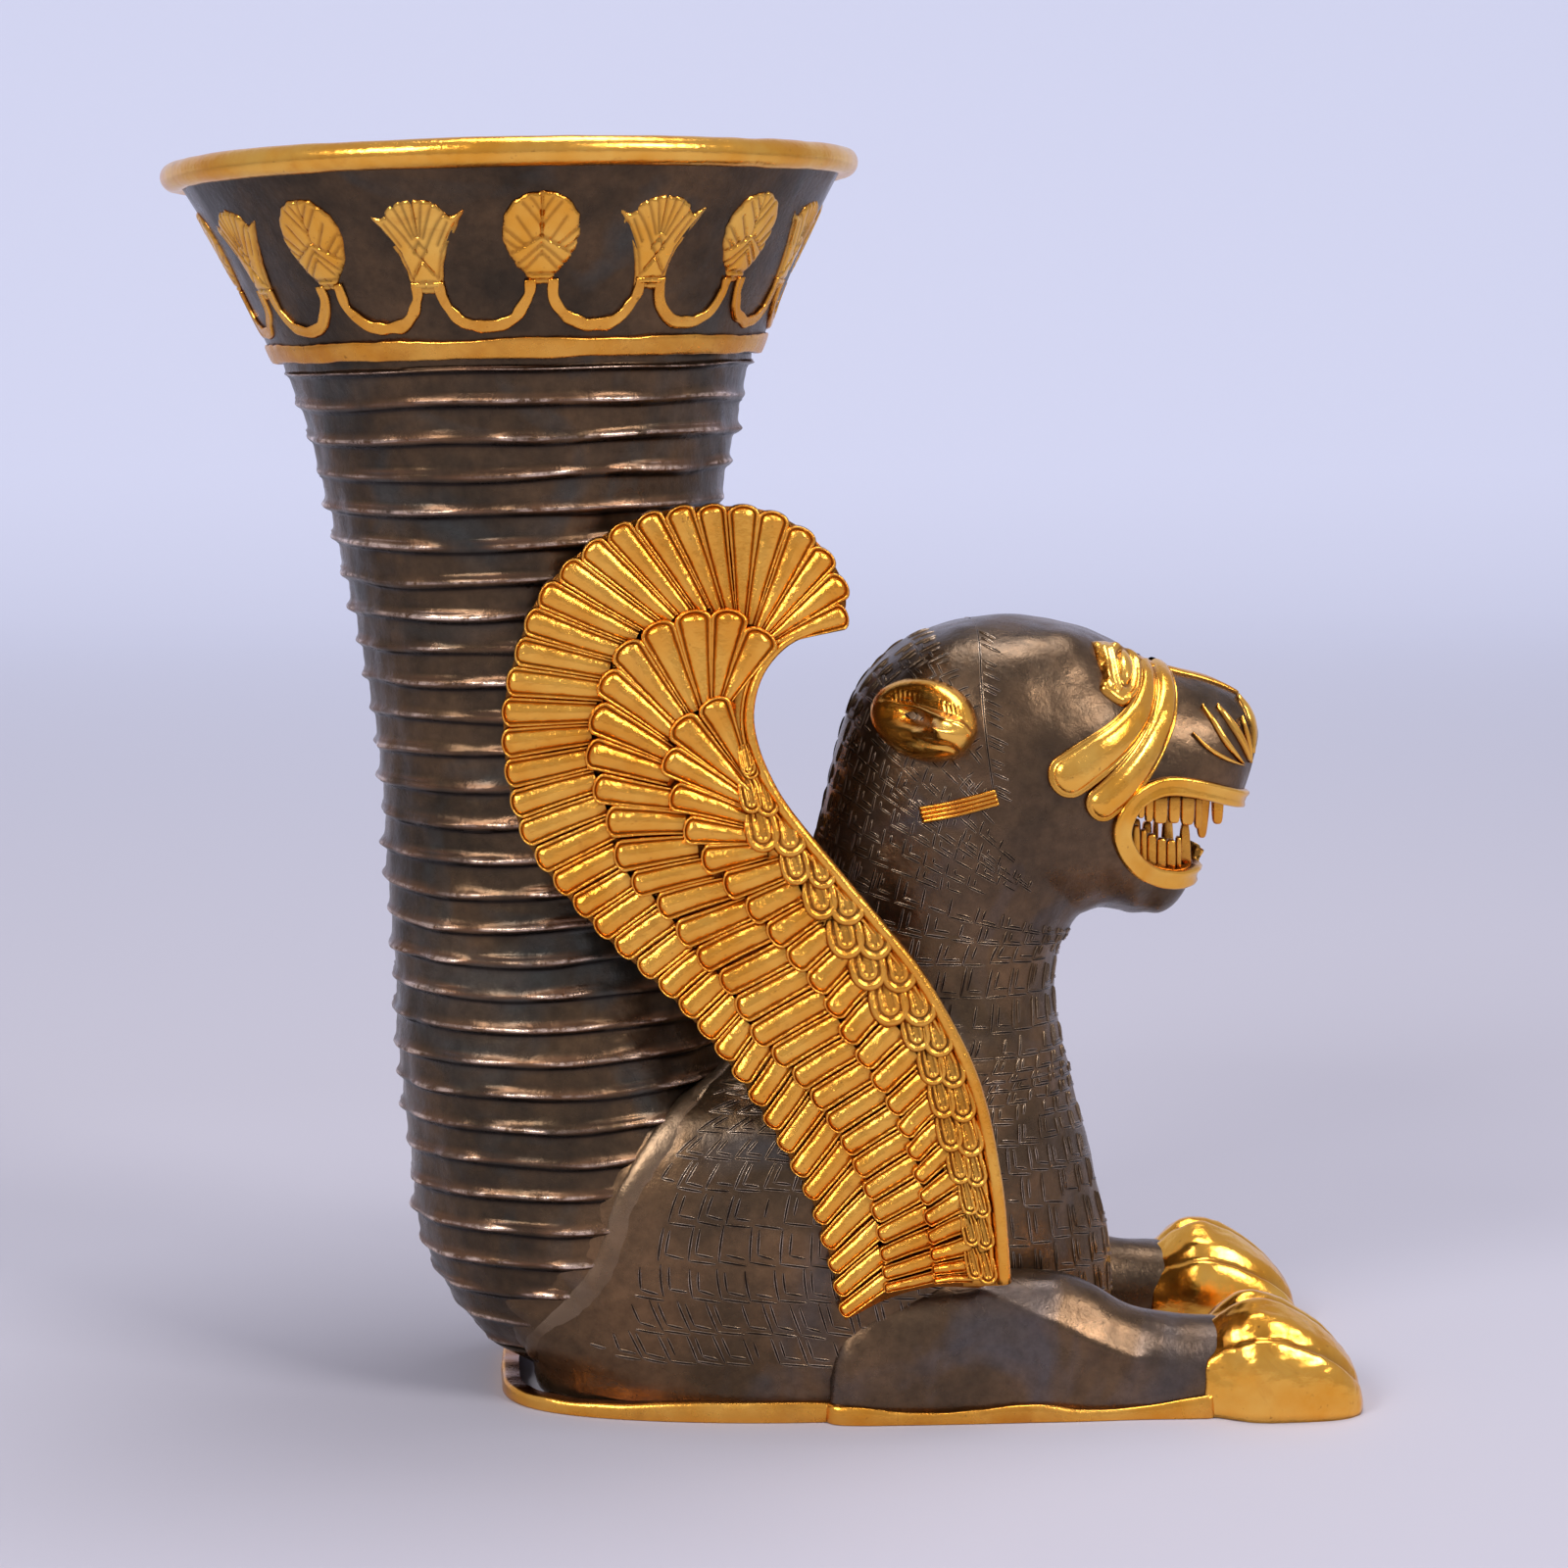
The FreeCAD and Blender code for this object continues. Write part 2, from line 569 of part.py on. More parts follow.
def ear_ring(side, reach, scale):
    """Ring of the ear at a distance from the middle plane."""
    points = []
    for step in range(ear_corners):
        turn = 2 * math.pi * step / ear_corners
        along = sheet.ear_front + math.cos(turn) * scale * sheet.ear_length / 2
        points.append(App.Vector(along, side * reach * sheet.ear_reach,
                                 sheet.ear_level + math.sin(turn) * scale * sheet.ear_height / 2))
    return points


for side, side_name in ((-1, "right"), (1, "left")):
    ear = skin([ear_ring(side, reach, scale) for reach, scale in EAR_SHARES])
    keep("ear_" + side_name, ear.cut(head_outside))
    bar_block = doc.addObject("Part::Box", "bar_block_" + side_name)
    bar_block.setExpression("Length", "sizes.bar_length")
    bar_block.setExpression("Width", "sizes.bar_reach")
    bar_block.setExpression("Height", "sizes.bar_height")
    bar_block.Placement.Rotation = App.Rotation(SIDE, -sheet.bar_slope)
    bar_block.setExpression("Placement.Base.x", "sizes.bar_front")
    if side < 0:
        bar_block.setExpression("Placement.Base.y", "-sizes.bar_reach")
    bar_block.setExpression("Placement.Base.z", "sizes.bar_level")
    cheek_bar = doc.addObject("Part::Cut", "cheek_bar_" + side_name)
    cheek_bar.Base = bar_block
    cheek_bar.Tool = head
    sub_parts.append(cheek_bar)


# Forelegs: along from elbow to wrist, half width, height
LEG_SHARES = ((0.00, 0.55, 0.24), (0.06, 0.71, 0.56), (0.16, 0.88, 0.84), (0.31, 0.98, 1.00),
              (0.66, 1.00, 0.95), (0.75, 0.98, 0.82), (0.82, 0.97, 0.68), (1.00, 1.04, 0.62))
# along from wrist to toes, half width, height, ripple of the toes
PAW_SHARES = ((0.00, 0.70, 0.76, 0.0), (0.14, 0.90, 0.93, 0.4), (0.31, 1.00, 1.00, 0.8),
              (0.49, 1.00, 0.92, 1.0), (0.66, 0.97, 0.72, 1.0), (0.83, 0.88, 0.49, 0.8),
              (0.94, 0.72, 0.27, 0.4), (1.00, 0.52, 0.12, 0.0))
LEG_STEPS = 10
PAW_STEPS = 16
leg_length = sheet.wrist_front - sheet.elbow_front
paw_length = sheet.paw_front - sheet.wrist_front
FOOT_TUCK_SHARE = 0.10           # how far a paw draws in where it meets the table
TOE_COUNT = 4
ARCH_FULLNESS_SHARE = 0.6


def arch(along, middle, half_width, floor, height, steps, tuck=0.0, ripple=0.0):
    """Arched ring that stands on a floor, drawn in at its foot, with toes where it ripples."""
    points = []
    for step in range(steps + 1):
        turn = math.pi * step / steps
        rise = (height - floor) * math.sin(turn) ** ARCH_FULLNESS_SHARE if 0 < step < steps else 0.0
        rise -= ripple * math.sin(turn) * (1 + math.cos(2 * TOE_COUNT * turn)) / 2
        reach = half_width * math.cos(turn) * (1 - tuck * (1 - math.sin(turn)) ** 4)
        points.append(App.Vector(along, middle - reach, floor + rise))
    return points


def leg_footprint(side, grow):
    """Outline of a foreleg on the base."""
    right_edge, left_edge = [], []
    for along, width, _ in LEG_SHARES:
        x = sheet.elbow_front + along * leg_length
        reach = width * sheet.leg_half_width + grow
        right_edge.append(App.Vector(x, side * sheet.leg_spread - reach, 0))
        left_edge.append(App.Vector(x, side * sheet.leg_spread + reach, 0))
    return right_edge + left_edge[::-1]


legs, paws = [], []
for side in (-1, 1):
    leg = skin([arch(sheet.elbow_front + along * leg_length, side * sheet.leg_spread,
                     width * sheet.leg_half_width, sheet.plate_thickness, height * sheet.leg_height,
                     LEG_STEPS)
                for along, width, height in LEG_SHARES])
    legs.append(leg.cut(trunk_block))
    paws.append(skin([arch(sheet.wrist_front + along * paw_length, side * sheet.leg_spread,
                           width * sheet.paw_half_width, 0.0, height * sheet.paw_height,
                           PAW_STEPS, FOOT_TUCK_SHARE, ripple * sheet.toe_ripple)
                      for along, width, height, ripple in PAW_SHARES]))

# Base: silver plate under the body, with a gilt band soldered round its edge
plate_depth = App.Vector(0, 0, sheet.plate_thickness)
band_depth = App.Vector(0, 0, sheet.base_band_height)
plate_shape = closed(base_ring(0.0, 0.0)).extrude(plate_depth)
base_strip = closed(base_ring(0.0, sheet.base_band_lift)).extrude(band_depth)
inside_block = closed(base_ring(0.0, 0.0)).extrude(band_depth)
for side in (-1, 1):
    plate_shape = plate_shape.fuse(closed(leg_footprint(side, 0.0)).extrude(plate_depth))
    inside_block = inside_block.fuse(closed(leg_footprint(side, 0.0)).extrude(band_depth))
    base_strip = base_strip.fuse(closed(leg_footprint(side, sheet.base_band_lift)).extrude(band_depth))
keep("base_plate", plate_shape)
keep("base_band", base_strip.cut(inside_block).cut(horn_envelope))
keep("trunk_shell", trunk_wall)
for side_name, leg, paw in zip(("right", "left"), legs, paws):
    keep("foreleg_" + side_name, leg)
    keep("paw_" + side_name, paw)

# Wings: a back plate carries three rows of chased feathers and coverts, with a smooth leading rim
# shares of the wing's reach and rise
WING_TIP_SHARES = ((0.663, 0.000), (0.634, 0.077), (0.605, 0.138), (0.547, 0.211), (0.490, 0.272),
                   (0.355, 0.382), (0.167, 0.496), (0.092, 0.550), (0.036, 0.604), (0.008, 0.669),
                   (0.005, 0.774), (0.030, 0.832), (0.068, 0.889), (0.134, 0.935), (0.209, 0.970),
                   (0.303, 0.993), (0.397, 1.000), (0.529, 0.992), (0.632, 0.946), (0.676, 0.882),
                   (0.664, 0.849))
WING_EDGE_SHARES = ((0.613, 0.847), (0.556, 0.830), (0.512, 0.800), (0.489, 0.743), (0.500, 0.707),
                    (0.528, 0.666), (0.643, 0.570), (0.738, 0.499), (0.816, 0.438), (0.875, 0.377),
                    (0.923, 0.316), (0.977, 0.182), (1.000, 0.041))
WING_FOOT_SHARES = ((0.937, 0.038), (0.839, 0.040), (0.741, 0.023), (0.693, 0.008))
PRIMARY_ROOT_SHARES = ((0.751, 0.038), (0.725, 0.136), (0.686, 0.196), (0.630, 0.255), (0.561, 0.311),
                       (0.485, 0.359), (0.436, 0.415), (0.362, 0.465), (0.294, 0.524), (0.233, 0.559),
                       (0.206, 0.618), (0.172, 0.684), (0.168, 0.726), (0.189, 0.771), (0.211, 0.813),
                       (0.261, 0.845), (0.314, 0.862), (0.366, 0.872), (0.415, 0.877), (0.462, 0.869),
                       (0.500, 0.853), (0.540, 0.832))
SECONDARY_ROOT_SHARES = ((0.848, 0.049), (0.820, 0.155), (0.780, 0.238), (0.710, 0.313), (0.660, 0.361),
                         (0.630, 0.396), (0.547, 0.459), (0.499, 0.495), (0.437, 0.538), (0.393, 0.570),
                         (0.359, 0.606), (0.326, 0.660), (0.318, 0.702), (0.337, 0.738), (0.375, 0.758),
                         (0.415, 0.767), (0.443, 0.762))
TERTIARY_ROOT_SHARES = ((0.916, 0.048), (0.902, 0.142), (0.862, 0.214), (0.817, 0.313), (0.774, 0.357),
                        (0.716, 0.396), (0.679, 0.443), (0.623, 0.486), (0.579, 0.529), (0.524, 0.576),
                        (0.480, 0.599), (0.471, 0.648), (0.477, 0.680))
# way along the tips of a row from its foot, way along its roots
ROOT_MATCH_SHARES = ((0.00, 0.00), (0.10, 0.155), (0.20, 0.29), (0.30, 0.415), (0.45, 0.60),
                     (0.60, 0.755), (0.75, 0.885), (0.90, 0.968), (1.00, 1.00))

EDGE_STEPS = 200                 # places along a wing's edge that are measured against the horn


def wing_pairs(shares):
    """Line on the wing as (x, z) pairs."""
    return [(along * sheet.wing_reach - sheet.wing_back, sheet.wing_foot + up * sheet.wing_rise)
            for along, up in shares]


tips = wing_pairs(WING_TIP_SHARES)
leading_edge = wing_pairs(WING_EDGE_SHARES)
wing_outline = tips + leading_edge + wing_pairs(WING_FOOT_SHARES)
primary_roots = wing_pairs(PRIMARY_ROOT_SHARES)
secondary_roots = wing_pairs(SECONDARY_ROOT_SHARES)
tertiary_roots = wing_pairs(TERTIARY_ROOT_SHARES)


def horn_reach(point):
    """Half width of the horn where a place in side view lies on it."""
    own = crown_place.inverse().multVec(point)
    drift, radius = share_at(HORN_SHARES, own.z / sheet.horn_length + 1)
    off = own.x - drift * sheet.joint_radius
    return math.sqrt(max(0, (radius * sheet.joint_radius) ** 2 - off ** 2))


# Both wings stand as close to the horn as the far one, which leans back over it, allows
foot = App.Vector(sheet.wing_reach - sheet.wing_back, 0, sheet.wing_foot)
leaned = App.Placement(App.Vector(), App.Rotation(SIDE, -sheet.left_wing_lean), foot)
edge_points = [App.Vector(x, 0, z) for x, z in (walk(tips, step / EDGE_STEPS) for step in range(EDGE_STEPS))]
flank_reach = sheet.flank_half_width * max(width for _, _, _, width, *_ in TRUNK_SHARES)
horn_side = max(horn_reach(place) for point in edge_points for place in (point, leaned.multVec(point)))
wing_stand = max(horn_side, flank_reach - sheet.wing_sheet) + sheet.wing_gap
outer_face = wing_stand + sheet.wing_sheet


def feather_row(tip_line, root_line, count, lift, nose_reach, side):
    """One row of feathers, each drawn to a nose at its tip and parted from the next by a groove."""
    run = sum(math.dist(a, b) for a, b in zip(tip_line, tip_line[1:]))
    groove = sheet.feather_gap / run
    feathers = []
    for step in range(int(count)):
        start = step / count + groove / 2
        end = (step + 1) / count - groove / 2
        tip_start, tip_end = walk(tip_line, start), walk(tip_line, end)
        root_start, root_end = (walk(root_line, share_at(ROOT_MATCH_SHARES, way)[0]) for way in (start, end))
        corners = [root_start, root_end]
        for root, tip in ((root_end, tip_end), (root_start, tip_start)):
            pull = nose_reach / math.dist(root, tip)
            corners.append((tip[0] + (root[0] - tip[0]) * pull, tip[1] + (root[1] - tip[1]) * pull))
        if nose_reach:
            corners.insert(3, walk(tip_line, (start + end) / 2))
        feathers.append(side_prism(corners, side * outer_face, side * (outer_face + lift)))
    return feathers


def keep_wing(side, side_name, lean):
    """Plate, feathers with coverts, and rim of one wing, leaning back about its foot."""
    plate = side_prism(wing_outline, side * wing_stand, side * outer_face)
    plate.rotate(foot, SIDE, -lean)
    plate = plate.cut(trunk_block).cut(legs[0 if side < 0 else 1])
    inner_edge_line = ribbon(leading_edge, sheet.wing_rim_width)[len(leading_edge):][::-1]
    covert_edge = [point for point in inner_edge_line if point[1] < tertiary_roots[-1][1]]
    coverts = side_prism(tertiary_roots + covert_edge, side * outer_face,
                         side * (outer_face + sheet.covert_lift))
    rim = side_prism(ribbon(leading_edge, sheet.wing_rim_width), side * outer_face,
                     side * (outer_face + sheet.wing_rim_lift))
    feathers = [coverts]
    feathers += feather_row(tips, primary_roots, sheet.primary_count, sheet.primary_lift,
                            sheet.feather_nose, side)
    feathers += feather_row(primary_roots, secondary_roots, sheet.secondary_count,
                            sheet.secondary_lift, 0.0, side)
    feathers += feather_row(secondary_roots, tertiary_roots, sheet.tertiary_count,
                            sheet.tertiary_lift, 0.0, side)
    for solid in [rim] + feathers:
        solid.rotate(foot, SIDE, -lean)
    keep("wing_plate_" + side_name, plate)
    keep("wing_feathers_" + side_name, Part.makeCompound(feathers))
    keep("wing_rim_" + side_name, rim)


keep_wing(-1, "right", 0.0)
keep_wing(1, "left", sheet.left_wing_lean)

# Every object has to have worked before anything is written
doc.recompute()
for item in doc.Objects:
    if any(state in item.State for state in ("Invalid", "Error")):
        raise RuntimeError(f"{item.Label} did not build: {item.State}")
for piece in sub_parts:
    if piece.Shape.isNull() or not piece.Shape.isValid():
        raise RuntimeError(f"{piece.Label} has no valid shape")
    piece.Shape.exportStep(f"parts/{piece.Label}.step")
    print(piece.Label, len(piece.Shape.Solids), "solids", round(piece.Shape.Volume), "mm3")
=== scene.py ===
import bmesh
import bpy
import math
import numpy as np
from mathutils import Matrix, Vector
from mathutils.bvhtree import BVHTree
from mathutils.geometry import delaunay_2d_cdt


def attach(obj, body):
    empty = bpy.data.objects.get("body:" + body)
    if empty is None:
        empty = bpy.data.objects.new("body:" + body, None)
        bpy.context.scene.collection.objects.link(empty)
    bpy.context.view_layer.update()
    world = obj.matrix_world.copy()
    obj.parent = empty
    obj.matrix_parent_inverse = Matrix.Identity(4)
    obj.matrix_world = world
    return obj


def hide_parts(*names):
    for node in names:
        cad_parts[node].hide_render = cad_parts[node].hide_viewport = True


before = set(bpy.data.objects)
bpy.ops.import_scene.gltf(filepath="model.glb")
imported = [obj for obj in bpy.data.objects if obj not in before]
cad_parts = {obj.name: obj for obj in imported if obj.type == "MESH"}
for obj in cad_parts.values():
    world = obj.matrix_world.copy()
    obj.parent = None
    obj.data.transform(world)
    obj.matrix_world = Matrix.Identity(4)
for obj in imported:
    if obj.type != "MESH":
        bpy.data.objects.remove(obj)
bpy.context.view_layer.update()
MM = 0.001


# The setting: a seamless pale studio sweep under soft light, seen from the cup's right side,
# a little above the middle of its height.
EYE_PLACE = (-40.8 * MM, -600.0 * MM, 183.8 * MM)
LOOK_DOWN = math.radians(7.2)
LOOK_ASIDE = math.radians(4.2)
FLOOR_COLOUR = (0.43, 0.42, 0.49, 1.0)
GLOW_COLOUR = (0.37, 0.40, 0.53, 1.0)
SKY_COLOUR = (0.66, 0.65, 0.74, 1.0)
SKY_STRENGTH = 0.74
AIM_PLACE = (0.0, 0.0, 0.11)
SOFTBOXES = (
    # place, size, watts, colour
    ((-0.95, -0.95, 1.05), 0.50, 12.5, (1.0, 0.97, 0.93)),
    ((0.95, -0.85, 1.05), 0.46, 11.5, (1.0, 0.96, 0.92)),
    ((0.10, 0.10, 1.40), 0.60, 10.0, (0.96, 0.97, 1.0)),
)

view_camera = bpy.data.cameras.new("view_camera")
view_camera.sensor_width = 36.0
view_camera.lens = 77.6
view_camera.clip_start = 0.01
camera_stand = bpy.data.objects.new("view_camera", view_camera)
camera_stand.location = EYE_PLACE
camera_stand.rotation_euler = (math.pi / 2 - LOOK_DOWN, 0.0, -LOOK_ASIDE)
bpy.context.collection.objects.link(camera_stand)
bpy.context.scene.camera = camera_stand
bpy.context.scene.view_settings.view_transform = "Standard"

for number, (place, size, watts, colour) in enumerate(SOFTBOXES):
    lamp = bpy.data.lights.new(f"softbox_{number}", "AREA")
    lamp.shape = "SQUARE"
    lamp.size = size
    lamp.energy = watts
    lamp.color = colour
    stand = bpy.data.objects.new(f"softbox_{number}", lamp)
    stand.location = place
    aim = Vector(AIM_PLACE) - Vector(place)
    stand.rotation_euler = aim.to_track_quat("-Z", "Y").to_euler()
    bpy.context.collection.objects.link(stand)


def nodes_of(material):
    """Cleared node tree of a material with its surface shader and output."""
    material.use_nodes = True
    tree = material.node_tree
    tree.nodes.clear()
    shader = tree.nodes.new("ShaderNodeBsdfPrincipled")
    output = tree.nodes.new("ShaderNodeOutputMaterial")
    tree.links.new(shader.outputs["BSDF"], output.inputs["Surface"])
    return tree, shader


def spread(tree, value, low, high, start=0.0, end=1.0):
    """Maps a value from one range to another, held within the second."""
    node = tree.nodes.new("ShaderNodeMapRange")
    for name, number in (("From Min", low), ("From Max", high), ("To Min", start), ("To Max", end)):
        node.inputs[name].default_value = number
    tree.links.new(value, node.inputs["Value"])
    return node.outputs["Result"]


def times(tree, first, second, operation="MULTIPLY"):
    """Arithmetic on two sockets or numbers, held between nought and one."""
    node = tree.nodes.new("ShaderNodeMath")
    node.operation = operation
    node.use_clamp = True
    for socket, value in zip(node.inputs, (first, second)):
        if isinstance(value, bpy.types.NodeSocket):
            tree.links.new(value, socket)
        else:
            socket.default_value = value
    return node.outputs["Value"]


sky = bpy.data.worlds.new("studio_sky")
sky.use_nodes = True
sky.node_tree.nodes["Background"].inputs["Color"].default_value = SKY_COLOUR
sky.node_tree.nodes["Background"].inputs["Strength"].default_value = SKY_STRENGTH
bpy.context.scene.world = sky


def make_piece(name, points, faces, **marks):
    """Object from points and faces; each mark is one number for every point."""
    mesh = bpy.data.meshes.new(name)
    mesh.from_pydata(np.asarray(points).reshape(-1, 3), [], faces)
    for mark, values in marks.items():
        layer = mesh.attributes.new(mark, "FLOAT", "POINT")
        layer.data.foreach_set("value", np.asarray(values, dtype=np.float32).ravel())
    mesh.validate()
    mesh.shade_smooth()
    piece = bpy.data.objects.new(name, mesh)
    bpy.context.collection.objects.link(piece)
    return piece


def grid_faces(rows, columns, wrap=True, start=0):
    """Four-cornered faces between neighbouring points of a grid."""
    across = columns if wrap else columns - 1
    row, column = np.meshgrid(np.arange(rows - 1), np.arange(across), indexing="ij")
    after = (column + 1) % columns
    corners = (row * columns + column, row * columns + after,
               (row + 1) * columns + after, (row + 1) * columns + column)
    return (np.stack(corners, -1).reshape(-1, 4) + start).tolist()


def capped_faces(rows, columns, start=0):
    """Faces of a closed form that runs through rings, with its two ends shut."""
    first = [start + step for step in range(columns)]
    last = [start + (rows - 1) * columns + step for step in range(columns)]
    return grid_faces(rows, columns, True, start) + [first[::-1], last]


SWEEP_FRONT, SWEEP_BACK, SWEEP_BEND, SWEEP_HEIGHT, SWEEP_WIDTH = -3.0, 1.6, 0.9, 2.2, 6.0
SWEEP_STEPS = 12
GLOW_START, GLOW_END = 0.25, 2.0     # metres behind the cup, where the floor turns into backdrop
sweep_line = [(SWEEP_FRONT, 0.0)]
for step in range(SWEEP_STEPS + 1):
    bend = math.pi / 2 * step / SWEEP_STEPS
    sweep_line.append((SWEEP_BACK + SWEEP_BEND * math.sin(bend), SWEEP_BEND * (1 - math.cos(bend))))
sweep_line.append((SWEEP_BACK + SWEEP_BEND, SWEEP_HEIGHT))
sweep_points = [(side * SWEEP_WIDTH / 2, y, z) for y, z in sweep_line for side in (-1, 1)]
studio_floor = make_piece("studio_floor", sweep_points, grid_faces(len(sweep_line), 2, False))
floor_paper = bpy.data.materials.new("floor_paper")
tree, shader = nodes_of(floor_paper)
shader.inputs["Base Color"].default_value = FLOOR_COLOUR
shader.inputs["Roughness"].default_value = 0.8
shader.inputs["Emission Color"].default_value = GLOW_COLOUR
sight = tree.nodes.new("ShaderNodeLightPath")
mirrored = times(tree, sight.outputs["Is Glossy Ray"], sight.outputs["Is Transmission Ray"], "ADD")
seen = times(tree, sight.outputs["Is Camera Ray"], mirrored, "ADD")
floor_place = tree.nodes.new("ShaderNodeNewGeometry")
floor_axes = tree.nodes.new("ShaderNodeSeparateXYZ")
tree.links.new(floor_place.outputs["Position"], floor_axes.inputs["Vector"])
distance = spread(tree, floor_axes.outputs["Y"], GLOW_START, GLOW_END)
tree.links.new(times(tree, seen, distance), shader.inputs["Emission Strength"])
studio_floor.data.materials.append(floor_paper)


# Horn and collar: one cup raised from silver sheet. The horn is fluted round and round by hammer,
# so its lips waver; the collar above the joint is plain and flares out to the mouth.
JOINT_PLACE = (-43.5 * MM, 0.0, 184.0 * MM)
CROWN_TILT = math.radians(1.4)
JOINT_RADIUS = 42.2 * MM
SHEET_WALL = 1.2 * MM
HORN_LENGTH = 182.0 * MM
FLUTE_COUNT = 30
FLUTE_START = 2.4 * MM
FLUTE_PITCH = 5.95 * MM
FLUTE_DEPTH = 1.05 * MM
COLLAR_RISE = 31.8 * MM
COLLAR_FLARE = 15.62 * MM
LIP_WAVER = 0.42 * MM
DENT_DEPTH = 0.13 * MM
CROWN_STEPS = 400
# height above the heel, drift of the axis to the front, radius
HORN_SHARES = (
    (0.000, 0.190, 0.240), (0.032, 0.192, 0.450), (0.062, 0.179, 0.570), (0.092, 0.168, 0.640),
    (0.122, 0.155, 0.684), (0.153, 0.148, 0.716), (0.213, 0.139, 0.730), (0.331, 0.096, 0.723),
    (0.420, 0.066, 0.696), (0.508, 0.040, 0.684), (0.593, 0.032, 0.686), (0.681, 0.020, 0.708),
    (0.766, 0.012, 0.755), (0.824, 0.010, 0.804), (0.881, 0.009, 0.857), (0.937, 0.012, 0.915),
    (0.967, 0.004, 0.950), (1.000, 0.000, 0.995),
)
# height above the joint, flare
COLLAR_SHARES = ((0.0, 0.0), (0.30, 0.26), (0.61, 0.56), (1.0, 1.0))
# way down a flute from the lip above, how far in it lies
FLUTE_SHARES = ((0.00, 0.60), (0.04, 0.86), (0.10, 1.00), (0.28, 0.90), (0.50, 0.82), (0.64, 0.70),
                (0.74, 0.44), (0.81, 0.14), (0.86, 0.00), (0.91, 0.07), (0.96, 0.32), (1.00, 0.60))
FLUTE_ROW_SHARES = (0.02, 0.06, 0.11, 0.20, 0.32, 0.45, 0.56, 0.63, 0.68, 0.73, 0.78, 0.82, 0.86, 0.90,
                    0.93, 0.965, 1.00)


def curve_at(table, where):
    """Reads the columns of a table off smooth curves; its first column is the position."""
    table = np.asarray(table, dtype=float)
    table = table[np.argsort(table[:, 0], kind="stable")]
    where = np.asarray(where, dtype=float)
    knots, values = table[:, 0], table[:, 1:]
    slopes = np.gradient(values, knots, axis=0)
    low = np.clip(np.searchsorted(knots, where, "right") - 1, 0, len(knots) - 2)
    span = (knots[low + 1] - knots[low])[..., None]
    part = np.clip((where - knots[low])[..., None] / span, 0.0, 1.0)
    rise = part ** 2 * (3 - 2 * part)
    bow = span * part * (1 - part) * (slopes[low] * (1 - part) - slopes[low + 1] * part)
    return values[low] * (1 - rise) + values[low + 1] * rise + bow


def waves(points, length, seed, count=18):
    """Smooth unevenness, mostly between -1 and 1, with features of about the given length."""
    draw = np.random.default_rng(seed)
    ways = draw.normal(size=(count, np.shape(points)[-1]))
    ways /= np.linalg.norm(ways, axis=1, keepdims=True)
    ways *= 2 * math.pi / (length * draw.uniform(0.7, 1.6, (count, 1)))
    return np.sin(points @ ways.T + draw.uniform(0, 2 * math.pi, count)).sum(-1) / math.sqrt(count)


def hump(value, middle, width):
    """Bell curve: one at the middle, and falling away on both sides of it."""
    return np.exp(-((value - middle) / width) ** 2)


def crown(points):
    """Places points of the crown's own tilted frame, whose origin is the joint."""
    cos, sin = math.cos(CROWN_TILT), math.sin(CROWN_TILT)
    x, y, z = points[..., 0], points[..., 1], points[..., 2]
    return np.stack([JOINT_PLACE[0] + x * cos - z * sin, y, JOINT_PLACE[2] + x * sin + z * cos], -1)


def horn_line(level):
    """Drift and radius of the horn's lips at a height above its heel."""
    shares = curve_at(HORN_SHARES, np.asarray(level) / HORN_LENGTH)
    return shares[..., 0] * JOINT_RADIUS, shares[..., 1] * JOINT_RADIUS


def collar_radius(up):
    """Radius of the outside of the collar at a height above the joint."""
    return JOINT_RADIUS + curve_at(COLLAR_SHARES, np.asarray(up) / COLLAR_RISE)[..., 0] * COLLAR_FLARE


turns = np.arange(CROWN_STEPS) * 2 * math.pi / CROWN_STEPS
crown_ways = np.stack([np.cos(turns), np.sin(turns)], -1)


def lip_waver(number):
    """How far one lip wanders up and down round the horn."""
    shared = waves(crown_ways * 1.3 + number * 0.16, 2.2, 5)
    own = waves(crown_ways, 0.9, 40 + number)
    return LIP_WAVER * (0.9 * shared + 0.55 * own)


levels, insets, lip_wear_and_highlight, groove_shade_marks = [], [], [], []


def horn_row(level, inset, lip, groove_shade):
    """Adds one ring of the cup, going up outside and down inside."""
    even = np.ones(CROWN_STEPS)
    levels.append(level * even)
    insets.append(inset * even)
    lip_wear_and_highlight.append(lip * even)
    groove_shade_marks.append(groove_shade * even)


lip_levels = [HORN_LENGTH - FLUTE_START - number * FLUTE_PITCH for number in range(FLUTE_COUNT)]
lip_wavers = [lip_waver(number) for number in range(FLUTE_COUNT)]
# The plain lower horn, inside the body, carries half the painted shade of a groove.
for share in np.linspace(0.0, 0.96, 8):
    horn_row(share * lip_levels[-1], 0.0, 0.0, 0.5)
for number in reversed(range(FLUTE_COUNT)):
    top_level = lip_levels[number - 1] if number else HORN_LENGTH
    top_waver = lip_wavers[number - 1] if number else 0.0
    strength = np.clip(0.90 + 0.40 * waves(crown_ways, 0.45, 90 + number), 0.35, 1.40)
    second = np.clip(waves(crown_ways, 0.8, 140 + number), 0.0, 1.0) * 0.34 * FLUTE_DEPTH
    for share in reversed(FLUTE_ROW_SHARES):
        inset = float(curve_at(FLUTE_SHARES, share)[0]) * FLUTE_DEPTH
        doubled = second * hump(share, 0.68, 0.045)
        level = (top_level + top_waver) * (1 - share) + (lip_levels[number] + lip_wavers[number]) * share
        # The lip mark lightens each lip's crest, partly as a painted highlight; the groove mark paints shade just
        # under each lip.
        lip = 0.70 * hump(share, 0.85, 0.055) + 0.30 * hump(share, 0.78, 0.16)
        groove_shade = hump(share, 0.03, 0.07) + hump(share, 1.0, 0.03)
        lip = lip * strength + doubled / FLUTE_DEPTH
        horn_row(level, FLUTE_DEPTH - (FLUTE_DEPTH - inset) * strength - doubled, lip, groove_shade)
outer_count = len(levels)
drift, radius = horn_line(np.array(levels))
radius -= np.array(insets)
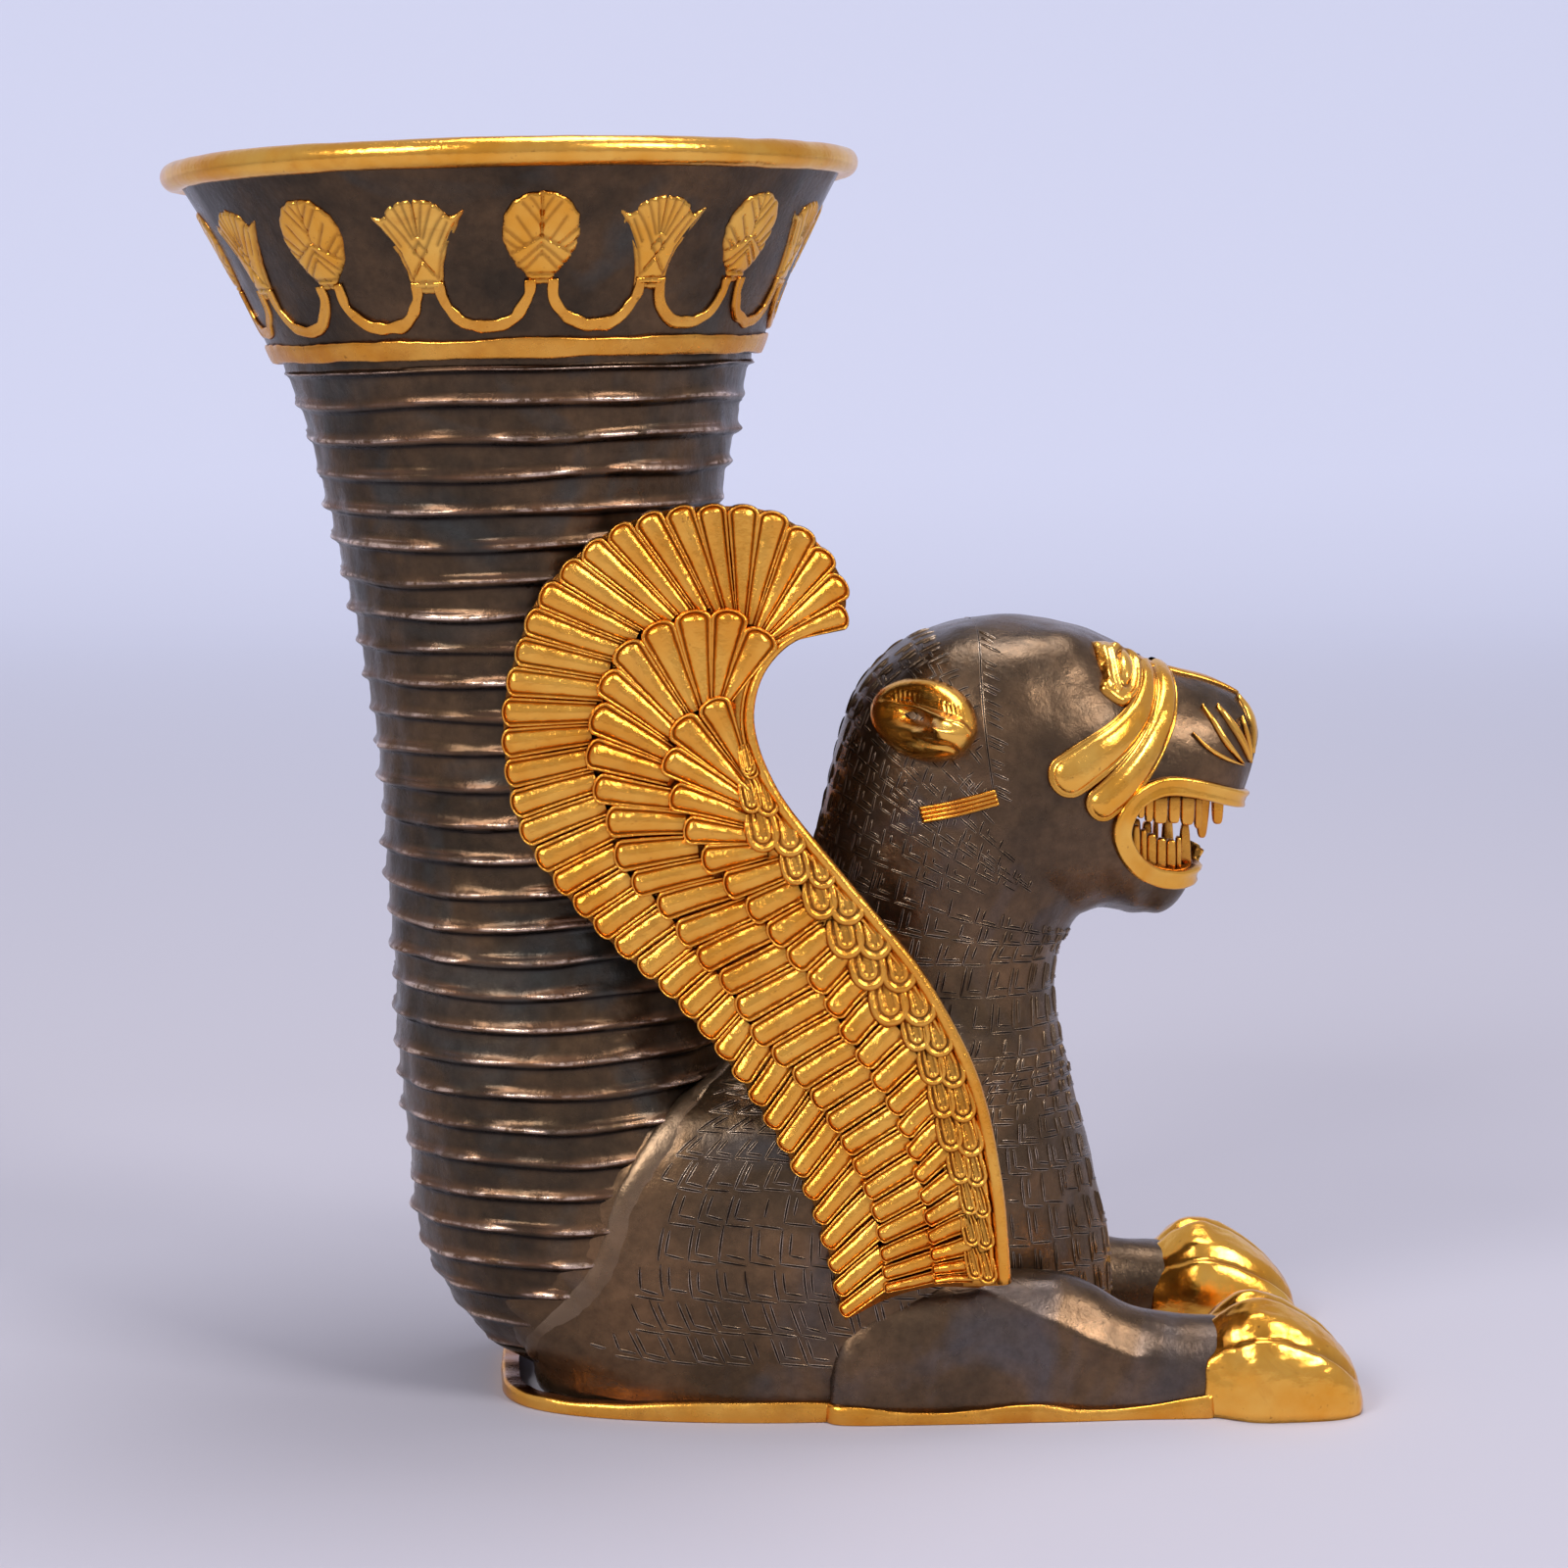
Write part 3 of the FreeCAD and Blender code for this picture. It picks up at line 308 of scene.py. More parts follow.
horn_rings = np.stack([drift + radius * crown_ways[:, 0], radius * crown_ways[:, 1],
                       np.array(levels) - HORN_LENGTH], -1)
dents = waves(horn_rings / MM, 13.0, 3) + 0.5 * waves(horn_rings / MM, 5.0, 4)
horn_rings[..., :2] += (crown_ways * DENT_DEPTH) * dents[..., None]
collar_ups = np.concatenate([np.linspace(0.0, 1.0, 40) ** 0.8, np.linspace(1.0, 0.0, 16)]) * COLLAR_RISE
collar_insets = np.concatenate([np.zeros(40), np.full(16, SHEET_WALL)])
collar_radii = (collar_radius(collar_ups) - collar_insets)[:, None] * np.ones(CROWN_STEPS)
collar_rings = np.stack([collar_radii * crown_ways[:, 0], collar_radii * crown_ways[:, 1],
                         collar_ups[:, None] * np.ones(CROWN_STEPS)], -1)
dents = waves(collar_rings / MM, 16.0, 8) * DENT_DEPTH
collar_rings[..., :2] += crown_ways * dents[..., None]
inner_levels = np.linspace(0.995, 0.062, 40) * HORN_LENGTH
inner_drift, inner_radius = horn_line(inner_levels)
inner_radius -= FLUTE_DEPTH + SHEET_WALL
inner_rings = np.stack([inner_drift[:, None] + inner_radius[:, None] * crown_ways[:, 0],
                        inner_radius[:, None] * crown_ways[:, 1],
                        (inner_levels - HORN_LENGTH)[:, None] * np.ones(CROWN_STEPS)], -1)
cup_rings = crown(np.concatenate([horn_rings, collar_rings, inner_rings]))
rest_count = len(cup_rings) - outer_count
# A little painted shade over the collar and inside the cup as well.
cup_wear_and_highlight = np.concatenate([np.array(lip_wear_and_highlight), np.zeros((rest_count, CROWN_STEPS))])
cup_groove_shade = np.concatenate([np.array(groove_shade_marks), np.full((rest_count, CROWN_STEPS), 0.1)])
horn_beaker = make_piece("horn_cup", cup_rings, capped_faces(len(cup_rings), CROWN_STEPS),
                         worn=cup_wear_and_highlight, sunk=cup_groove_shade)


def tint(tree, factor, first, second, blend="MIX"):
    """Mixes two colours, each given as a value or a socket, and returns the result's socket."""
    mix = tree.nodes.new("ShaderNodeMix")
    mix.data_type = "RGBA"
    mix.blend_type = blend
    for socket, value in ((mix.inputs["Factor"], factor), (mix.inputs[6], first), (mix.inputs[7], second)):
        if isinstance(value, bpy.types.NodeSocket):
            tree.links.new(value, socket)
        elif isinstance(value, tuple):
            socket.default_value = (*value, 1.0)
        else:
            socket.default_value = value
    return mix.outputs[2]


def mottle(tree, scale, detail=4.0, rough=0.55, twist=0.0):
    """Cloudy noise in the piece's own place; returns its value socket."""
    place = tree.nodes.new("ShaderNodeTexCoord")
    noise = tree.nodes.new("ShaderNodeTexNoise")
    noise.inputs["Scale"].default_value = scale
    noise.inputs["Detail"].default_value = detail
    noise.inputs["Roughness"].default_value = rough
    noise.inputs["Distortion"].default_value = twist
    tree.links.new(place.outputs["Object"], noise.inputs["Vector"])
    return noise.outputs["Fac"]


def mark(tree, name):
    """Value of a mark that the mesh carries at each point."""
    node = tree.nodes.new("ShaderNodeAttribute")
    node.attribute_name = name
    return node.outputs["Fac"]


def roughen(tree, shader, height, reach):
    """Fine relief from a height socket, as deep as a reach in metres."""
    bump = tree.nodes.new("ShaderNodeBump")
    bump.inputs["Strength"].default_value = 1.0
    bump.inputs["Distance"].default_value = reach
    tree.links.new(height, bump.inputs["Height"])
    tree.links.new(bump.outputs["Normal"], shader.inputs["Normal"])


def oxidised_silver(name, dark, brown, cool, halo, polish_and_highlight):
    """Silver gone dark in the air, brown and blue in clouds, with painted shade near black on points marked
    as sunk, and bright where it is rubbed, partly as a painted highlight.
    """
    material = bpy.data.materials.new(name)
    tree, shader = nodes_of(material)
    shader.inputs["Metallic"].default_value = 0.88
    clouds = spread(tree, mottle(tree, 55.0, 5.0, 0.6), 0.38, 0.66)
    body = tint(tree, clouds, dark, brown)
    body = tint(tree, spread(tree, mottle(tree, 34.0, 3.0, 0.5, 1.2), 0.54, 0.70, 0.0, 0.65), body, cool)
    speck = spread(tree, mottle(tree, 420.0, 3.0, 0.7), 0.35, 0.70)
    body = tint(tree, times(tree, speck, 0.35), body, (0.020, 0.014, 0.010))
    # Painted shade: points marked as sunk are darkened nearly to black.
    shade_share = times(tree, mark(tree, "sunk"), 0.95)
    body = tint(tree, shade_share, body, (0.010, 0.007, 0.006))
    warm = times(tree, spread(tree, mark(tree, "worn"), 0.03, 0.40),
                 spread(tree, mottle(tree, 80.0, 4.0), 0.30, 0.60))
    body = tint(tree, times(tree, warm, 0.85), body, halo)
    # Painted highlight mixed with real rubbing: points marked as worn, the horn's lips and the burrs of chased
    # lines, turn to the polish colour in broken patches.
    broken = times(tree, spread(tree, mottle(tree, 240.0, 6.0, 0.8), 0.42, 0.58),
                   spread(tree, mottle(tree, 40.0), 0.36, 0.52))
    rubbed_and_highlight = times(tree, spread(tree, mark(tree, "worn"), 0.42, 0.90), broken)
    body = tint(tree, rubbed_and_highlight, body, polish_and_highlight)
    tree.links.new(body, shader.inputs["Base Color"])
    rough = spread(tree, mottle(tree, 130.0, 4.0), 0.3, 0.7, 0.20, 0.38)
    tree.links.new(times(tree, rough, times(tree, rubbed_and_highlight, 0.10), "SUBTRACT"), shader.inputs["Roughness"])
    roughen(tree, shader, mottle(tree, 650.0, 6.0, 0.65), 0.00013)
    return material


horn_silver = oxidised_silver("horn_silver_finish", (0.058, 0.041, 0.026), (0.150, 0.088, 0.045),
                              (0.072, 0.082, 0.078), (0.19, 0.095, 0.050), (0.80, 0.60, 0.48))
horn_beaker.data.materials.append(horn_silver)
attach(horn_beaker, "root")
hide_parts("horn_beaker")


# Rim bead: a gilt wire as thick as a pencil lead, rolled into the edge of the mouth by hand,
# so it is nowhere quite round.
BEAD_RADIUS = 2.35 * MM
BEAD_OFFSET = 0.25 * MM
BEAD_SIDES = 24
bead_turns = np.arange(BEAD_SIDES) * 2 * math.pi / BEAD_SIDES
bead_thick = BEAD_RADIUS * (1 + 0.035 * waves(crown_ways, 0.7, 21) + 0.02 * waves(crown_ways, 0.16, 22))
bead_lift = 0.16 * MM * waves(crown_ways, 1.1, 23)
bead_reach = JOINT_RADIUS + COLLAR_FLARE + BEAD_OFFSET + bead_thick[:, None] * np.cos(bead_turns)
bead_rings = np.stack([bead_reach * crown_ways[:, :1], bead_reach * crown_ways[:, 1:],
                       COLLAR_RISE + bead_lift[:, None] - bead_thick[:, None] * np.sin(bead_turns)], -1)
bead_rings = np.concatenate([bead_rings, bead_rings[:1]])
bead_faces = [[a % (CROWN_STEPS * BEAD_SIDES) for a in face]
              for face in grid_faces(CROWN_STEPS + 1, BEAD_SIDES)]
rim_bead = make_piece("mouth_bead", crown(bead_rings[:-1]), bead_faces,
                      sunk=np.zeros(CROWN_STEPS * BEAD_SIDES), worn=np.zeros(CROWN_STEPS * BEAD_SIDES))


def fire_gilding(name, light, deep, stain, roughness, stain_share=0.35, grain=0.00014):
    """Gold brushed on as an amalgam and fired: warm, soft, with red-brown grime and painted shade,
    near black, on points marked as sunk.
    """
    material = bpy.data.materials.new(name)
    tree, shader = nodes_of(material)
    shader.inputs["Metallic"].default_value = 1.0
    body = tint(tree, spread(tree, mottle(tree, 80.0, 4.0, 0.6), 0.36, 0.66), light, deep)
    patches = spread(tree, mottle(tree, 60.0, 5.0, 0.7, 0.8), 0.66 - stain_share * 0.2, 0.80)
    body = tint(tree, times(tree, patches, 0.55), body, stain)
    specks = spread(tree, mottle(tree, 900.0, 2.0, 0.6), 0.68, 0.76)
    body = tint(tree, times(tree, specks, 0.5), body, (0.16, 0.05, 0.02))
    # Red-brown grime and painted shade on sunk points: clouds pick between red-brown grime and near-black painted
    # shade.
    dirt_and_shade = spread(tree, mottle(tree, 70.0, 3.0, 0.6), 0.50, 0.62)
    grime_and_shade = tint(tree, dirt_and_shade, (0.24, 0.062, 0.012), (0.035, 0.012, 0.012))
    body = tint(tree, times(tree, mark(tree, "sunk"), 0.95), body, grime_and_shade)
    tree.links.new(body, shader.inputs["Base Color"])
    rough = spread(tree, mottle(tree, 220.0, 4.0), 0.3, 0.7, roughness * 0.75, roughness * 1.35)
    tree.links.new(rough, shader.inputs["Roughness"])
    roughen(tree, shader, mottle(tree, 400.0, 6.0, 0.62), grain)
    return material


bright_gilt = fire_gilding("bright_gilt", (1.0, 0.56, 0.11), (0.90, 0.40, 0.045), (0.50, 0.14, 0.02), 0.18)
rim_bead.data.materials.append(bright_gilt)
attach(rim_bead, "root")
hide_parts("rim_bead")


# Collar band: a strip of gilt sheet soldered over the joint of horn and collar, its edges torn
# and filed uneven.
BAND_HEIGHT = 3.2 * MM
BAND_DROP = 0.4 * MM
BAND_LIFT = 0.8 * MM
# way up the band, how far it stands out
BAND_SHARES = ((0.0, -0.6), (0.0, 0.15), (0.03, 0.70), (0.12, 0.92), (0.35, 1.0), (0.65, 0.98),
               (0.88, 0.90), (0.97, 0.68), (1.0, 0.15), (1.0, -0.6))
band_low = -BAND_DROP + 0.15 * MM * (waves(crown_ways, 0.35, 31) + 0.3 * waves(crown_ways, 0.10, 32))
band_top = BAND_HEIGHT - BAND_DROP + 0.18 * MM * (waves(crown_ways, 0.4, 33) + 0.4 * waves(crown_ways, 0.09, 34))
band_rings = []
for up, out in BAND_SHARES:
    level = band_low + (band_top - band_low) * up
    reach = collar_radius(np.maximum(level, 0.0)) + out * BAND_LIFT
    band_rings.append(np.stack([reach * crown_ways[:, 0], reach * crown_ways[:, 1], level], -1))
band_faces = grid_faces(len(band_rings), CROWN_STEPS)
# Painted shade along both edges of the band, where it meets the collar, and a little over its face.
band_edge_shade = [1.0 if out < 0.5 else 0.15 for up, out in BAND_SHARES]
collar_band = make_piece("joint_band", crown(np.array(band_rings)), band_faces,
                         sunk=np.repeat(band_edge_shade, CROWN_STEPS),
                         worn=np.zeros(len(band_rings) * CROWN_STEPS))
worn_gilt = fire_gilding("worn_gilt", (0.92, 0.47, 0.085), (0.80, 0.33, 0.035), (0.36, 0.09, 0.015), 0.24, 1.0)
collar_band.data.materials.append(worn_gilt)
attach(collar_band, "root")
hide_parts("collar_band")


# Lotus frieze: eight flowers and eight buds by turns, cut from gilt sheet, chased with a blunt
# punch and laid on the collar, and a garland of swags that ties their feet together.
LOTUS_COUNT = 16
LOTUS_TURN = math.radians(5.2)
LOTUS_BASE = 11.4 * MM
FLOWER_FOOT = 10.4 * MM
BUD_FOOT = 11.5 * MM
LOTUS_HEIGHT = 14.4 * MM
FLOWER_WIDTH = 15.6 * MM
BUD_WIDTH = 12.8 * MM
LOTUS_LIFT = 0.62 * MM
LOTUS_EDGE = 0.45 * MM
LINE_DEPTH = 0.30 * MM
LINE_WIDTH = 0.24 * MM
LOTUS_GRAIN = 0.27 * MM
SWAG_DIP = 6.3 * MM
SWAG_WIDTH = 2.05 * MM
LOTUS_SINK = 0.30 * MM
# half width, height
FLOWER_SHARES = ((0.37, -0.01), (0.38, 0.10), (0.43, 0.26), (0.53, 0.43), (0.68, 0.59), (0.86, 0.73),
                 (1.04, 0.90), (0.84, 0.85), (0.67, 0.83), (0.60, 0.92), (0.36, 1.00), (0.00, 1.03))
BUD_SHARES = ((0.36, -0.01), (0.37, 0.08), (0.66, 0.20), (0.90, 0.37), (1.00, 0.56), (0.93, 0.74),
              (0.70, 0.90), (0.36, 0.98), (0.00, 1.01))
# engraved lines, each mirrored as well
FLOWER_LINE_SHARES = (
    ((0.00, 0.045), (0.40, 0.045)), ((0.00, 0.115), (0.40, 0.115)),
    ((-0.30, 0.15), (0.02, 0.38), (0.34, 0.66), (0.62, 0.87)),
    ((0.30, 0.15), (0.47, 0.46), (0.72, 0.68), (0.97, 0.86)),
    ((0.00, 0.36), (0.20, 0.22)), ((0.00, 0.56), (0.14, 0.45)),
    ((0.00, 0.62), (0.00, 1.00)), ((0.06, 0.62), (0.20, 0.98)), ((0.12, 0.60), (0.40, 0.96)),
    ((0.40, 0.52), (0.66, 0.76)), ((0.44, 0.44), (0.78, 0.72)),
)
BUD_LINE_SHARES = (
    ((0.00, 0.04), (0.40, 0.04)), ((0.00, 0.105), (0.44, 0.105)),
    ((0.00, 0.34), (0.40, 0.16)), ((0.00, 0.43), (0.62, 0.20)), ((0.00, 0.52), (0.88, 0.30)),
    ((0.00, 0.52), (0.00, 0.99)), ((0.22, 0.47), (0.60, 0.72)), ((0.44, 0.42), (0.94, 0.62)),
    ((0.00, 0.62), (0.46, 0.88)), ((0.00, 0.76), (0.26, 0.93)), ((0.62, 0.38), (0.97, 0.50)),
)
# half distance between motifs, depth below their feet
SWAG_SHARES = ((-0.80, -0.10), (-0.79, 0.20), (-0.70, 0.55), (-0.48, 0.88), (-0.20, 1.03), (0.0, 1.06),
               (0.20, 1.03), (0.48, 0.88), (0.70, 0.55), (0.79, 0.20), (0.80, -0.10))


def smooth_line(points, count):
    """Evenly spaced points along a smooth curve through the given ones."""
    points = np.asarray(points, dtype=float)
    runs = np.concatenate([[0.0], np.cumsum(np.linalg.norm(np.diff(points, axis=0), axis=1))])
    table = np.concatenate([runs[:, None], points], axis=1)
    return curve_at(table, np.linspace(0.0, runs[-1], count))


def away(points, line):
    """Distance of every point from a line of straight runs."""
    nearest = np.full(len(points), np.inf)
    for start, end in zip(line[:-1], line[1:]):
        run = end - start
        part = np.clip((points - start) @ run / max(run @ run, 1e-18), 0.0, 1.0)
        nearest = np.minimum(nearest, np.linalg.norm(points - start - part[:, None] * run, axis=1))
    return nearest


def inside(points, outline):
    """Which points lie inside a closed outline."""
    x, y = points[:, 0], points[:, 1]
    crossed = np.zeros(len(points), dtype=bool)
    for (ax, ay), (bx, by) in zip(outline, np.roll(outline, -1, axis=0)):
        spans = (ay > y) != (by > y)
        level = ax + (y - ay) / ((by - ay) if by != ay else 1e-18) * (bx - ax)
        crossed ^= spans & (x < level)
    return crossed


def cut_sheet(outline, grain):
    """Fine flat triangles inside an outline: points, faces, and distance from the edge."""
    low, high = outline.min(0), outline.max(0)
    across, up = np.meshgrid(np.arange(low[0], high[0], grain), np.arange(low[1], high[1], grain * 0.87))
    across = across + (np.arange(len(across)) % 2)[:, None] * grain / 2
    field = np.stack([across.ravel(), up.ravel()], -1)
    field = field[inside(field, outline)]
    ring = np.concatenate([outline, outline[:1]])
    field = field[away(field, ring) > grain * 0.55]
    points = np.concatenate([outline, field])
    edges = [(step, (step + 1) % len(outline)) for step in range(len(outline))]
    made = delaunay_2d_cdt([Vector(point) for point in points.tolist()], edges, [], 1, grain * 0.01)
    flat = np.array([tuple(point) for point in made[0]])
    return flat, [list(face) for face in made[2]], away(flat, ring)


def solid_sheet(faces, count):
    """Faces of a sheet with an underside of the same points, and walls round its edge."""
    used = {}
    for face in faces:
        for a, b in zip(face, face[1:] + face[:1]):
            used[(a, b)] = used.get((a, b), 0) + 1
    under = [[corner + count for corner in face[::-1]] for face in faces]
    walls = [[b, a, a + count, b + count] for a, b in used if (b, a) not in used]
    return faces + under + walls


def on_collar(across, up, lift, turn):
    """Places points of the frieze, unrolled flat, on the outside of the collar."""
    reach = collar_radius(up) + lift
    turn = turn + across / collar_radius(LOTUS_BASE + LOTUS_HEIGHT / 2)
    return crown(np.stack([reach * np.sin(turn), -reach * np.cos(turn), up], -1))


def motif(half_outline, line_shares, width, foot, turn, seed):
    """One chased flower or bud: its points, faces and the painted shade at each point, along its edge
    and in its chased lines.
    """
    scale = np.array([width / 2, LOTUS_HEIGHT])
    half = np.array(half_outline)
    whole = np.concatenate([half, half[-2::-1] * (-1, 1)]) * scale
    ring = []
    for start, end in zip(whole, np.roll(whole, -1, axis=0)):
        steps = max(2, int(np.linalg.norm(end - start) / LOTUS_GRAIN))
        ring += [start + (end - start) * step / steps for step in range(steps)]
    ring = np.array(ring)
    for _ in range(5):
        ring = ring * 0.5 + (np.roll(ring, 1, axis=0) + np.roll(ring, -1, axis=0)) * 0.25
    ring = ring + 0.10 * MM * np.stack([waves(ring / MM, 2.2, seed), waves(ring / MM, 2.2, seed + 1)], -1)
    flat, faces, edge = cut_sheet(ring, LOTUS_GRAIN)
    lift = LOTUS_LIFT * (1 - np.exp(-(edge / LOTUS_EDGE) ** 1.5))
    lift += LOTUS_LIFT * 0.45 * np.clip(edge / (width * 0.30), 0, 1)
    # Painted shade along the cut edge, where the sheet meets the collar.
    sunk = np.exp(-edge / (0.30 * MM)) * 0.9
    for shares in line_shares:
        for side in (-1, 1):
            line = np.array(shares) * scale * (side, 1)
            line = smooth_line(line, 12) if len(line) > 2 else line
            near = np.exp(-(away(flat, line) / LINE_WIDTH) ** 2)
            lift -= LINE_DEPTH * near
            # Painted shade in the chased lines.
            sunk = np.maximum(sunk, near * 0.62)
    top = on_collar(flat[:, 0], foot + flat[:, 1], np.maximum(lift, 0.02 * MM), turn)
    under = on_collar(flat[:, 0], foot + flat[:, 1], -LOTUS_SINK, turn)
    return np.concatenate([top, under]), solid_sheet(faces, len(flat)), np.concatenate([sunk, sunk])


def join_parts(name, parts):
    """One piece from many forms, each given as points, faces, sunk marks for painted shade and, if
    any, worn marks for wear and, in part, painted highlight.
    """
    points, faces, sunk, worn, start = [], [], [], [], 0
    for part_points, part_faces, part_sunk, *part_worn in parts:
        part_points = np.asarray(part_points).reshape(-1, 3)
        points.append(part_points)
        faces += [[corner + start for corner in face] for face in part_faces]
        sunk.append(np.asarray(part_sunk, dtype=float).ravel())
        worn.append(np.asarray(part_worn[0], dtype=float).ravel() if part_worn else np.zeros(len(part_points)))
        start += len(part_points)
    return make_piece(name, np.concatenate(points), faces, sunk=np.concatenate(sunk), worn=np.concatenate(worn))


lotus_pitch = 2 * math.pi / LOTUS_COUNT
flowers, buds, swags = [], [], []
for step in range(LOTUS_COUNT):
    turn = LOTUS_TURN + step * lotus_pitch
    if step % 2:
        flowers.append(motif(FLOWER_SHARES, FLOWER_LINE_SHARES, FLOWER_WIDTH, FLOWER_FOOT, turn, 200 + step))
    else:
        buds.append(motif(BUD_SHARES, BUD_LINE_SHARES, BUD_WIDTH, BUD_FOOT, turn, 240 + step))

# across the swag's strip, height
SWAG_SECTION_SHARES = ((-1.0, -0.6), (-1.0, 0.25), (-0.86, 0.80), (-0.62, 1.0), (-0.35, 0.82), (0.0, 0.88),
                       (0.35, 0.82), (0.62, 1.0), (0.86, 0.80), (1.0, 0.25), (1.0, -0.6))


def sides_of(line):
    """Unit directions across a flat line, to the left of its way."""
    ways = np.gradient(line, axis=0)
    ways /= np.linalg.norm(ways, axis=1, keepdims=True)
    return np.stack([-ways[:, 1], ways[:, 0]], -1)


def strap(line, half_widths, section, lift, place):
    """Closed strip along a flat line: a section of (across, height) shares carried from end to end.
    The place function puts (x, y, lift) of the flat on its surface."""
    line = np.asarray(line)
    sides = sides_of(line)
    rows = []
    for across, height in section:
        flat = line + sides * (across * half_widths)[:, None]
        rows.append(place(flat[:, 0], flat[:, 1], height * lift))
    rings = np.stack(rows, axis=1)
    # Painted shade on the strip's sides and underside.
    sunk = np.tile([0.85 if height < 0.5 else 0.0 for _, height in section], (len(line), 1))
    return rings, capped_faces(len(line), len(section)), sunk


swag_reach = collar_radius(LOTUS_BASE + LOTUS_HEIGHT / 2) * math.sin(lotus_pitch / 2)
swag_line = np.array(SWAG_SHARES) * (swag_reach, -SWAG_DIP) + (0.0, LOTUS_BASE)
swag_line = smooth_line(swag_line, 64)
for step in range(LOTUS_COUNT):
    turn = LOTUS_TURN + (step + 0.5) * lotus_pitch
    wander = 0.12 * MM * np.stack([waves(swag_line / MM, 5.0, 280 + step),
                                   waves(swag_line / MM, 5.0, 300 + step)], -1)
    widths = SWAG_WIDTH / 2 * (1 + 0.10 * waves(swag_line / MM, 3.0, 320 + step))
    swags.append(strap(swag_line + wander, widths, SWAG_SECTION_SHARES, LOTUS_LIFT,
                       lambda across, up, lift: on_collar(across, up, lift, turn)))
for name, parts, node in (("gilt_flowers", flowers, "lotus_flowers"), ("gilt_buds", buds, "lotus_buds"),
                          ("gilt_garland", swags, "lotus_garland")):
    piece = join_parts(name, parts)
    piece.data.materials.append(worn_gilt if parts is swags else bright_gilt)
    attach(piece, "root")
    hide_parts(node)


# Body of the lion: haunch, flanks, chest and neck hammered from one silver sheet round the lower
# horn, and chased all over with rows of little L-shaped cells for its coat.
BODY_STEPS = 288
BODY_ROWS_PER_MM = 1.15
HAUNCH_BACK = -42.4 * MM
BODY_LENGTH = 105.9 * MM
FLANK_HALF_WIDTH = 35.2 * MM
NAPE_HEIGHT = 87.0 * MM
# back x, back height, front x, front height, half width, fullness at the back, at the front, pinch
BODY_SHARES = (
    (0.000, 0.014, 1.000, 0.014, 0.890, 0.56, 0.75, 0.40),
    (-0.004, 0.052, 1.000, 0.052, 0.892, 0.55, 0.75, 0.40),
    (-0.050, 0.138, 1.001, 0.138, 0.918, 0.50, 0.75, 0.40),
    (-0.119, 0.299, 0.989, 0.299, 0.955, 0.50, 0.75, 0.36),
    (-0.077, 0.460, 0.958, 0.460, 0.955, 0.50, 0.75, 0.30),
    (0.025, 0.575, 0.931, 0.575, 0.900, 0.50, 0.75, 0.22),
    (0.174, 0.649, 0.916, 0.649, 0.824, 0.50, 0.78, 0.15),
    (0.307, 0.687, 0.908, 0.687, 0.781, 0.52, 0.80, 0.10),
    (0.386, 0.736, 0.901, 0.736, 0.739, 0.65, 0.85, 0.06),
    (0.432, 0.828, 0.893, 0.828, 0.696, 0.80, 0.90, 0.03),
    (0.455, 0.920, 0.899, 0.905, 0.671, 0.90, 0.95, 0.01),
    (0.4665, 1.000, 0.9112, 0.9253, 0.659, 1.00, 1.00, 0.00),
)
HEAD_BACK = 7.0 * MM
HEAD_LENGTH = 82.2 * MM
THROAT_HEIGHT = 80.5 * MM
HEAD_HEIGHT = 57.3 * MM
HEAD_HALF_WIDTH = 24.5 * MM
# top x, top height, low x, low height, half width, fullness
HEAD_SHARES = (
    (0.043, 0.414, 0.586, 0.037, 0.960, 0.95), (0.075, 0.602, 0.595, 0.056, 0.980, 0.90),
    (0.119, 0.782, 0.602, 0.066, 0.985, 0.85), (0.195, 0.899, 0.611, 0.073, 1.000, 0.80),
    (0.313, 0.979, 0.627, 0.082, 1.000, 0.76), (0.448, 1.000, 0.651, 0.087, 0.980, 0.74),
    (0.560, 0.983, 0.687, 0.079, 0.930, 0.72), (0.664, 0.925, 0.724, 0.068, 0.850, 0.72),
    (0.740, 0.862, 0.766, 0.068, 0.755, 0.74), (0.816, 0.825, 0.809, 0.072, 0.686, 0.74),
    (0.904, 0.784, 0.850, 0.106, 0.592, 0.76), (0.959, 0.736, 0.875, 0.154, 0.469, 0.80),
    (0.998, 0.646, 0.895, 0.227, 0.286, 0.90),
)
body_table = []
for back_x, back_z, front_x, front_z, width, back_full, front_full, pinch in BODY_SHARES:
    body_table.append((HAUNCH_BACK + back_x * BODY_LENGTH, back_z * NAPE_HEIGHT,
                       HAUNCH_BACK + front_x * BODY_LENGTH, front_z * NAPE_HEIGHT,
                       width * FLANK_HALF_WIDTH, back_full, front_full, pinch))
neck_row = len(body_table) - 1
for top_x, top_z, low_x, low_z, width, fullness in HEAD_SHARES:
    body_table.append((HEAD_BACK + top_x * HEAD_LENGTH, THROAT_HEIGHT + top_z * HEAD_HEIGHT,
                       HEAD_BACK + low_x * HEAD_LENGTH, THROAT_HEIGHT + low_z * HEAD_HEIGHT,
                       width * HEAD_HALF_WIDTH, fullness, fullness, 0.0))
body_table = np.array(body_table)
body_runs = np.maximum(np.linalg.norm(np.diff(body_table[:, :2], axis=0), axis=1),
                       np.linalg.norm(np.diff(body_table[:, 2:4], axis=0), axis=1))
body_places = np.concatenate([[0.0], np.cumsum(body_runs)])
body_table = np.concatenate([body_places[:, None], body_table], axis=1)
neck_place = body_places[neck_row]
body_end = body_places[-1]


